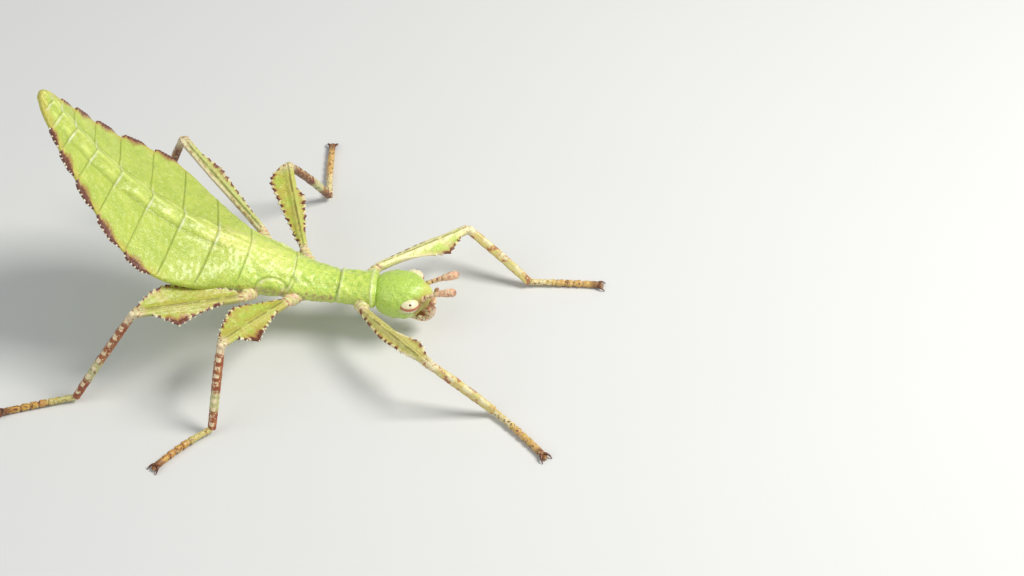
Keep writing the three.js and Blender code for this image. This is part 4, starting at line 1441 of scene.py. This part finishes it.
@dataclass
class Leg:
    """One leg from its hip to its claws, posed by its joints."""

    name: str
    root: Place
    hip: Place
    knee: Place
    ankle: Place
    toe: Place
    bow: float
    shin: float
    face: Place
    fore: Blade
    aft: Blade
    paint: LegPaint
    teeth_from: float = 0.07
    stem: float = 0.47
    tooth_pitch: float = 0.72
    tooth_height: float = 0.2
    tooth_size: Span = (0.2, 0.14)
    leaf_lip: float = 0.16
    leaf_curl: float = 0.05
    leaf_wave: float = 0.14
    shank_columns: int = 28
    bead_columns: tuple[int, ...] = (3, 11, 24)
    bead_size: Span = (0.13, 0.075)
    foot_joints: tuple[float, ...] = (0.4, 0.53, 0.65, 0.77)
    foot_radius: float = 0.38
    floor_gap: float = 0.004
    pad_length: float = 0.85
    pad_half: float = 0.36
    pad_height: float = 0.26
    claw_length: float = 0.95
    claw_splay: float = 0.62
    claw_radii: Span = (0.24, 0.04)
    claw_tip: float = 0.07

    def __post_init__(self) -> None:
        """Turns the joints into arrays and seeds the leg's own draws."""
        self.places = {key: np.array(getattr(self, key), float)
                       for key in ("root", "hip", "knee", "ankle", "toe", "face")}
        self.seed = sum(map(ord, self.name))

    def line(self, first: str, last: str, share: Grid, before: float, after: float) -> Grid:
        """Points from one joint to the next, run on a little past both."""
        a, b = self.places[first], self.places[last]
        axis = unit(b - a)
        a, b = a - before * axis, b + after * axis
        return a + np.outer(share, b - a)

    def add_hip(self) -> bpy.types.Object:
        """Builds the coxa with its folds and the trochanter."""
        share = end_shares(70)
        path = self.line("root", "hip", share, 0.3, 0.28)
        length = float(np.linalg.norm(path[-1] - path[0]))
        radii = mix(0.95, 0.6, smooth(share, 0.3, 0.9)) - 0.1 * hump(share, 0.72, 0.04)
        radii = radii + 0.03 * np.sin(share * HIP_FOLDS) * smooth(share, 0.2, 0.45)
        radii = radii * rounded(share, length, 0.3, 0.5)
        rings = tube(path, radii, radii * 0.95, self.places["face"], 30)
        shell = Shell("share")
        shell.add(swollen(rings, 0.05 * ripple(rings, 0.5, self.seed)), share=share[:, None])
        return shell.piece(f"{self.name}_hip", "coxae", HIP_FINISH, f"{self.name}_coxa")

    def teeth_along(self, length: float, share: Grid, lobe: Grid, seed: int) -> tuple[Grid, Grid]:
        """Outline teeth of one edge of the thigh.

        Args:
            length: Length of the thigh.
            share: Shares of the thigh at the rings.
            lobe: How far the lobe stands out at the rings.
            seed: Seed for the teeth's places and sizes.

        Returns:
            The extra reach at each ring, and the shares where teeth stand.
        """
        draw = np.random.default_rng(seed)
        count = int(length / self.tooth_pitch)
        at = (np.arange(count) + 0.5 + draw.uniform(-0.2, 0.2, count)) / count
        at = at[(at > self.teeth_from) & (at < 0.93)]
        extra = np.zeros_like(share)
        for place in at:
            size = self.tooth_height * draw.uniform(0.6, 1.15)
            off = (share - place) * length
            lean = np.where(off < 0, -off / 0.30, off / 0.16)
            extra = np.maximum(extra, size * np.clip(1 - lean, 0, 1))
        stands = np.interp(at, share, lobe) > 0.12
        return extra * smooth(lobe, 0.03, 0.3), at[stands]

    def add_thigh(self) -> list[bpy.types.Object]:
        """Builds the leaf-like femur and the white points of its teeth."""
        a, b = self.places["hip"], self.places["knee"]
        before, after = 0.25, 0.22
        length = float(np.linalg.norm(b - a)) + before + after
        share = np.linspace(0, 1, 260)
        path = self.line("hip", "knee", share, before, after)
        axis = unit(b - a)
        up = unit(self.places["face"] - self.places["face"] @ axis * axis)
        across = np.cross(up, axis)
        fore, aft = (self.fore, self.aft) if a[1] < 0 else (self.aft, self.fore)
        cap = rounded(share, length, 0.5, 0.45)
        stem = self.stem * mix(0.88, 1.12, share) * cap
        edges, teeth = [], []
        for k, blade in enumerate((fore, aft)):
            lobe = blade.reach(share)
            lobe = np.convolve(np.pad(lobe, 3, mode="edge"), np.ones(7) / 7, mode="valid")
            extra, at = self.teeth_along(length, share, lobe, self.seed + k)
            edges.append(stem + lobe + extra)
            teeth.append((at, stem + lobe))
        # Rings run over the upper side from the fore edge to the aft edge and back below
        rim = np.array([0, 0.003, 0.012, 0.03])
        lane = np.concatenate([rim, np.linspace(0.06, 0.94, 44), [0.97, 0.988, 0.997, 1]])
        ring = np.concatenate([lane, lane[-2:0:-1]])
        upper = np.concatenate([np.ones(len(lane)), -np.ones(len(lane) - 2)])
        y = edges[0][:, None] - ring[None] * (edges[0] + edges[1])[:, None]
        rib = mix(0.5, 0.38, smooth(share, 0, 0.6)) + 0.07 * smooth(share, 0.85, 1)
        inset = np.minimum(edges[0][:, None] - y, edges[1][:, None] + y)
        lip = self.leaf_lip * np.sqrt(np.clip(inset / 0.12, 0, 1)) * cap[:, None]
        stem_height = (rib * cap)[:, None] * hump(y, 0, stem[:, None] + 0.28)
        keel = (0.05 * hump(y, -0.12, 0.12) - 0.09 * hump(y, 0.12, 0.1)) * cap[:, None]
        thick = np.maximum(lip, stem_height) + keel
        lift = self.leaf_curl * (np.maximum(np.abs(y) - 0.5, 0) ** 2)
        wave = self.leaf_wave * np.sin(share * 9 + self.seed)[:, None] * smooth(np.abs(y), 0.5, 2.2)
        z = upper[None] * thick + lift + wave
        points = path[:, None] + across * y[..., None] + up * z[..., None]
        grain = 0.03 * ripple(points, 0.45, self.seed + 7) * smooth(inset, 0.05, 0.3)
        points = points + up * grain[..., None]
        shell = Shell(*THIGH_LAYERS)
        lobes = np.where(y > 0, fore.reach(share)[:, None], aft.reach(share)[:, None])
        full = np.where(y > 0, fore.width, aft.width)
        signed = y if a[1] < 0 else -y
        red = smooth(lobes / full, 0.3, 0.85) * smooth(full, 0.2, 1.2) * smooth(share, 0.3, 0.6)[:, None]
        red = red * mix(0.3, 1.0, smooth(signed, -0.2, 0.2))
        shell.add(points, edge=inset + 0.5 * smooth(0.06 - lobes, 0, 0.06), lateral=signed,
                  share=share[:, None], along=share[:, None] * length, red=red)
        thigh = shell.piece(f"{self.name}_thigh", "femora", self.paint.thigh, f"{self.name}_femur")

        points_shell = Shell("share")
        for (at, reach), sign in zip(teeth, (1, -1)):
            for place in at:
                y_tip = float(np.interp(place, share, reach)) + 0.55 * self.tooth_height
                lift_tip = self.leaf_curl * max(y_tip - 0.5, 0) ** 2
                wave_tip = self.leaf_wave * math.sin(place * 9 + self.seed) * float(smooth(y_tip, 0.5, 2.2))
                foot = path[0] + place * (path[-1] - path[0]) + across * sign * (y_tip - 0.1)
                foot = foot + up * (lift_tip + wave_tip)
                way = unit(across * sign + 0.45 * axis)
                add_cone(points_shell, foot, way, *self.tooth_size)
        pieces = [thigh]
        if points_shell.count:
            pieces.append(points_shell.piece(f"{self.name}_teeth", "femora", TOOTH_FINISH))
        return pieces

    def add_shank(self) -> list[bpy.types.Object]:
        """Builds the tibia, keeled and a little swollen at both ends, with its beads."""
        share = end_shares(120)
        path = self.line("knee", "ankle", share, 0.24, 0.16)
        axis = unit(path[-1] - path[0])
        length = float(np.linalg.norm(path[-1] - path[0]))
        look = self.places["face"] + 0.001
        bend = 0.16 * np.sin(math.pi * share)
        side = unit(np.cross(look, axis))
        path = path + np.outer(bend, unit(np.cross(axis, side)))
        by_knee, by_ankle = mix(1.0, 0.94, hump(share, 0.12, 0.08)), mix(1, 0.9, smooth(share, 0.6, 1))
        radii = self.shin * np.where(share < 0.6, by_knee, by_ankle) * rounded(share, length, 0.45, 0.4)
        rings = tube(path, radii, radii, look, self.shank_columns)
        angle = 2 * math.pi * np.arange(self.shank_columns) / self.shank_columns
        keels = np.cos(4 * angle)[None] * smooth(share, 0.05, 0.2)[:, None]
        rings = swollen(rings, 0.05 * keels + 0.03 * ripple(rings, 0.4, self.seed + 3))
        shell = Shell("share", "keel")
        shell.add(rings, share=share[:, None], keel=hump(np.sin(angle), 1.0, 0.35)[None])
        shank = shell.piece(f"{self.name}_shank", "tibiae", self.paint.shank, f"{self.name}_tibia")

        draw = np.random.default_rng(self.seed + 4)
        beads = Shell("share")
        for column in self.bead_columns:
            for at in np.arange(0.07, 0.95, 0.055) + draw.uniform(-0.012, 0.012, 16):
                row = int(np.clip(np.searchsorted(share, at), 1, len(share) - 2))
                foot = rings[row, column]
                way = unit(foot - rings[row].mean(axis=0))
                size = draw.uniform(0.6, 1.1)
                tall, thick = (part * size for part in self.bead_size)
                add_cone(beads, foot - 0.04 * way, unit(way + 0.3 * axis), tall, thick, 6)
        return [shank, beads.piece(f"{self.name}_beads", "tibiae", BEAD_FINISH)]

    def add_foot(self) -> list[bpy.types.Object]:
        """Builds the tarsus with its pads flat on the floor, the end pad and two claws."""
        ankle, toe = self.places["ankle"], self.places["toe"]
        run = toe - ankle
        aside = unit(np.array([-run[1], run[0], 0.0]))
        middle = mix(ankle, toe, 0.45) + self.bow * aside
        middle[2] = toe[2]
        share = np.linspace(0, 1, 190)
        path = curve(ankle, middle, toe, share)
        radii = np.full_like(share, self.foot_radius)
        for joint in self.foot_joints:
            radii = radii - 0.13 * hump(share, joint + 0.004, 0.013)
            radii = radii + 0.04 * hump(share, joint - 0.03, 0.02)
        radii[share < 0.33] *= 0.92
        radii = radii * rounded(share, length_of(path), 0.25, 0.3)
        rings = tube(path, radii, 1.02 * radii, np.array([0, 0, 1.0]), 24)
        rings = swollen(rings, 0.02 * ripple(rings, 0.3, self.seed + 9))
        rings[..., 2] = np.maximum(rings[..., 2], self.floor_gap)
        shell = Shell("share")
        shell.add(rings, share=share[:, None])
        forward = unit((toe - path[-12]) * np.array([1, 1, 0]))
        pad_share = end_shares(26)
        pad_path = toe + np.outer(pad_share * self.pad_length - 0.3, forward)
        pad_path[:, 2] = self.pad_height
        wide = self.pad_half * np.sqrt(np.clip(1 - (2 * pad_share - 1) ** 2, 0.002, 1)) ** 0.8
        pad = tube(pad_path, wide, wide * 0.62, np.array([0, 0, 1.0]), 20)
        pad[..., 2] = np.maximum(pad[..., 2], self.floor_gap)
        shell.add(pad, share=0.95)
        foot = shell.piece(f"{self.name}_foot", "tarsi", self.paint.foot, f"{self.name}_tarsus")

        claws = Shell("share")
        sideways = np.array([-forward[1], forward[0], 0.0])
        for sign in (-1, 1):
            start = toe - 0.25 * forward
            tip = start + self.claw_length * forward + sign * self.claw_splay * sideways
            tip[2] = self.claw_tip
            bend = start + 0.45 * forward + sign * self.claw_splay * sideways
            bend[2] += 0.24
            t = np.linspace(0, 1, 16)
            size = mix(*self.claw_radii, t**0.9)
            hook = tube(curve(start, bend, tip, t), size, size, np.array([0.1, 0, 1.0]), 10)
            claws.add(hook, share=0.5 + 0.5 * t[:, None])
        return [foot, claws.piece(f"{self.name}_claws", "tarsi", CLAW_FINISH)]

    def build(self) -> list[bpy.types.Object]:
        """Builds and dresses the whole leg."""
        return [self.add_hip(), *self.add_thigh(), *self.add_shank(), *self.add_foot()]


EYE_FINISH = EyeFinish()
ANTENNA_FINISH = FeelerFinish("antenna")
PALP_FINISH = FeelerFinish("palp", (0.96, 0.86, 0.60), (0.96, 0.74, 0.54), (0.46, 0.13, 0.07),
                           joints=5.0, spotted=0.6)
MOUTH_FINISH = FeelerFinish("mouth", (0.84, 0.78, 0.40), (0.93, 0.80, 0.52), (0.46, 0.14, 0.07),
                            joints=0.0, spotted=0.5)
HIP_FINISH = HipFinish()
TOOTH_FINISH = PlainHorn("tooth_white")
BEAD_FINISH = PlainHorn("bead_cream", (0.85, 0.70, 0.45), (0.70, 0.45, 0.25))
CLAW_FINISH = PlainHorn("claw_horn", (0.10, 0.035, 0.015), (0.22, 0.08, 0.03), 0.25)

OLIVE_THIGH = ThighFinish("olive")
GREEN_THIGH = ThighFinish("green", (0.46, 0.54, 0.12), (0.38, 0.50, 0.08), (0.74, 0.72, 0.32),
                          redness=0.9, margin=0.2, aft_to=-1.0, hem=0.7)
LIME_THIGH = ThighFinish("lime", (0.80, 0.78, 0.32), (0.62, 0.78, 0.18), (0.84, 0.78, 0.40),
                         redness=0.9, tip=0.1, fore_from=0.58, aft_to=0.5)
YELLOW_THIGH = ThighFinish("yellow", (0.50, 0.47, 0.08), (0.46, 0.52, 0.08), (0.50, 0.46, 0.10))
FRONT_THIGH = ThighFinish("front", (0.60, 0.54, 0.15), (0.52, 0.55, 0.12), (0.66, 0.58, 0.22),
                          redness=0.9, margin=0.26, tip=0.1, fore_from=0.6, aft_to=0.62)
RUST_SHANK = ShankFinish("rust")
DARK_SHANK = ShankFinish("dark", (0.20, 0.055, 0.018), (0.34, 0.17, 0.04), (0.66, 0.54, 0.26))
CREAM_SHANK = ShankFinish("cream", (0.68, 0.58, 0.20), (0.72, 0.50, 0.18), (0.84, 0.78, 0.46),
                          (0.36, 0.10, 0.04), banded=0.3, row=4.0, spot_from=0.53)
BROWN_FOOT = FootFinish("brown")
ORANGE_FOOT = FootFinish("orange", (0.80, 0.70, 0.38), (0.68, 0.42, 0.15))

LEGS = (
    Leg("front_right", (12.4, -1.5, 5.5), (12.85, -3.3, 5.9), (21.46, -11.59, 7.0),
        (28.47, -11.95, 0.72), (34.5, -17.5, 0.42), 0.3, 0.52, (0, -0.35, 0.93),
        Blade(0.75, 0.46, 0.7, 0.88, 0.9, 2.0), Blade(0.85, 0.0, 0.4, 0.85, 0.8, 1.4),
        LegPaint(FRONT_THIGH, CREAM_SHANK, ORANGE_FOOT), teeth_from=0.6),
    Leg("front_left", (12.8, 1.5, 5.6), (13.4, 3.3, 6.1), (22.93, 10.71, 6.0),
        (30.26, 8.16, 0.72), (38.3, 8.86, 0.42), 0.3, 0.55, (0, 0, 1),
        Blade(2.0, 0.2, 0.67, 0.9, 1.8, 1.1), Blade(0.3, 0.1, 0.45, 0.8, 1.0, 1.5),
        LegPaint(LIME_THIGH, CREAM_SHANK, ORANGE_FOOT), teeth_from=0.55),
    Leg("middle_right", (5.1, -2.1, 6.4), (4.3, -4.05, 6.95), (-0.97, -13.69, 10.0),
        (-1.93, -17.89, 0.72), (-7.05, -23.57, 0.42), -0.7, 0.48, (0, -0.35, 0.93),
        Blade(1.85, 0.15, 0.66, 0.79, 1.6, 0.9), Blade(2.3, 0.0, 0.55, 0.98, 0.75, 1.4),
        LegPaint(OLIVE_THIGH, RUST_SHANK, BROWN_FOOT)),
    Leg("middle_left", (5.9, 1.9, 6.8), (5.1, 4.1, 7.35), (1.53, 15.08, 9.8),
        (5.25, 19.75, 0.72), (4.15, 28.75, 0.42), 0.3, 0.46, (0, 0, 1),
        Blade(0.7, 0.15, 0.58, 0.7, 1.2, 1.5), Blade(1.85, 0.04, 0.76, 1.0, 1.0, 2.2),
        LegPaint(OLIVE_THIGH, DARK_SHANK, ORANGE_FOOT)),
    Leg("hind_right", (0.4, -3.1, 7.6), (-0.3, -5.35, 8.6), (-10.68, -12.01, 12.0),
        (-17.76, -14.9, 0.72), (-25.4, -17.7, 0.42), -0.3, 0.48, (0, -0.35, 0.93),
        Blade(1.9, 0.15, 0.65, 0.84, 1.7, 0.8), Blade(2.25, 0.0, 0.6, 0.96, 0.6, 1.9),
        LegPaint(YELLOW_THIGH, RUST_SHANK, BROWN_FOOT)),
    Leg("hind_left", (0.9, 2.9, 8.3), (0.15, 5.3, 8.75), (-10.14, 13.7, 14.0),
        (-14.8, 16.2, 0.72), (-21.0, 20.6, 0.42), 0.3, 0.46, (0, 0, 1),
        Blade(0.75, 0.12, 0.62, 0.8, 1.2, 1.0), Blade(0.1, 0.2, 0.6, 0.9, 1.0, 1.0),
        LegPaint(GREEN_THIGH, DARK_SHANK, BROWN_FOOT)),
)


# Studio


@dataclass
class Studio:
    """Pale floor, soft lights and the camera at the photograph's angle."""

    camera_at: Place = (51.71, -207.46, 224.08)
    azimuth: float = 6.2
    elevation: float = 46.0
    lens: float = 94.92
    sensor: float = 36.0
    floor_size: float = 3000.0
    floor_tone: Colour = (0.72, 0.72, 0.70)
    floor_shade: Colour = (0.66, 0.66, 0.64)
    air_tone: Colour = (0.9, 0.94, 1.0)
    air_strength: float = 0.35
    lit_height: float = 10.0

    def add_floor(self) -> None:
        """A wide pale floor with a faint unevenness."""
        bpy.ops.mesh.primitive_plane_add(size=self.floor_size * MM)
        floor = bpy.context.object
        floor.name = "studio_floor"
        pot = Mixer("floor_paper")
        tone = pot.blend(pot.times(pot.noise(30.0, 3), 0.3), self.floor_tone, self.floor_shade)
        pot.dress(tone, 0.9)
        floor.data.materials.append(pot.material)

    def add_light(self, name: str, at: Place, size: float, watts: float, tone: Colour) -> None:
        """One soft square light aimed at the insect.

        Args:
            name: The light's name.
            at: Its place in mm from the insect's middle.
            size: Its width in mm.
            watts: Its power.
            tone: Its colour.
        """
        light = bpy.data.lights.new(name, "AREA")
        light.size = size * MM
        light.energy = watts
        light.color = tone
        lamp = bpy.data.objects.new(name, light)
        back = unit(np.array(at) - np.array([0, 0, self.lit_height]))
        side = unit(np.cross([0.01, 0.0, 1.0], back))
        lamp.matrix_world = Matrix.Translation((np.array(at) * MM).tolist()) @ facing(side, back)
        bpy.context.scene.collection.objects.link(lamp)

    def add_camera(self) -> None:
        """The camera, aimed as in the photograph."""
        azimuth, elevation = math.radians(self.azimuth), math.radians(self.elevation)
        back = np.array([
            math.sin(azimuth) * math.cos(elevation), -math.cos(azimuth) * math.cos(elevation),
            math.sin(elevation),
        ])
        right = np.array([math.cos(azimuth), math.sin(azimuth), 0.0])
        data = bpy.data.cameras.new("photo_camera")
        data.lens = self.lens
        data.sensor_width = self.sensor
        data.clip_start = 0.01
        camera = bpy.data.objects.new("photo_camera", data)
        place = (np.array(self.camera_at) + SHIFT) * MM
        camera.matrix_world = Matrix.Translation(place.tolist()) @ facing(right, back)
        bpy.context.scene.collection.objects.link(camera)
        bpy.context.scene.camera = camera

    def build(self) -> None:
        """Builds the floor, the lights, the sky and the camera."""
        self.add_floor()
        self.add_light("key", (190, 10, 230), 110, 0.8, (1.0, 0.98, 0.94))
        self.add_light("fill", (-160, -120, 190), 220, 0.2, (0.95, 0.98, 1.0))
        world = bpy.data.worlds.new("studio_air")
        world.use_nodes = True
        air = world.node_tree.nodes["Background"]
        air.inputs["Color"].default_value = (*self.air_tone, 1)
        air.inputs["Strength"].default_value = self.air_strength
        bpy.context.scene.world = world
        bpy.context.scene.view_settings.view_transform = "Standard"
        self.add_camera()


def main() -> None:
    """Builds every piece in order."""
    logging.basicConfig(level=logging.INFO, format="%(message)s")
    trunk = Trunk(Spine())
    trunk.build(TrunkFinish())
    EdgeTeeth(trunk).build(TOOTH_FINISH)
    for side in Side:
        Eye(side).build(EYE_FINISH)
        Feeler("antenna", side, "antennae", (18.6, 1.25, 5.85), (20.5, 1.05, 7.35), (23.1, 1.45, 8.05),
               radius=0.28, joints=8, club=1.75).build(ANTENNA_FINISH)
        Feeler("palp", side, "mouthparts", (18.6, 1.2, 3.3), (20.4, 1.85, 3.3), (20.55, 1.4, 5.5),
               radius=0.27, joints=5, club=1.15).build(PALP_FINISH)
    Mouth().build(MOUTH_FINISH)
    for leg in LEGS:
        leg.build()
    Studio().build()


if __name__ == "__main__":
    main()
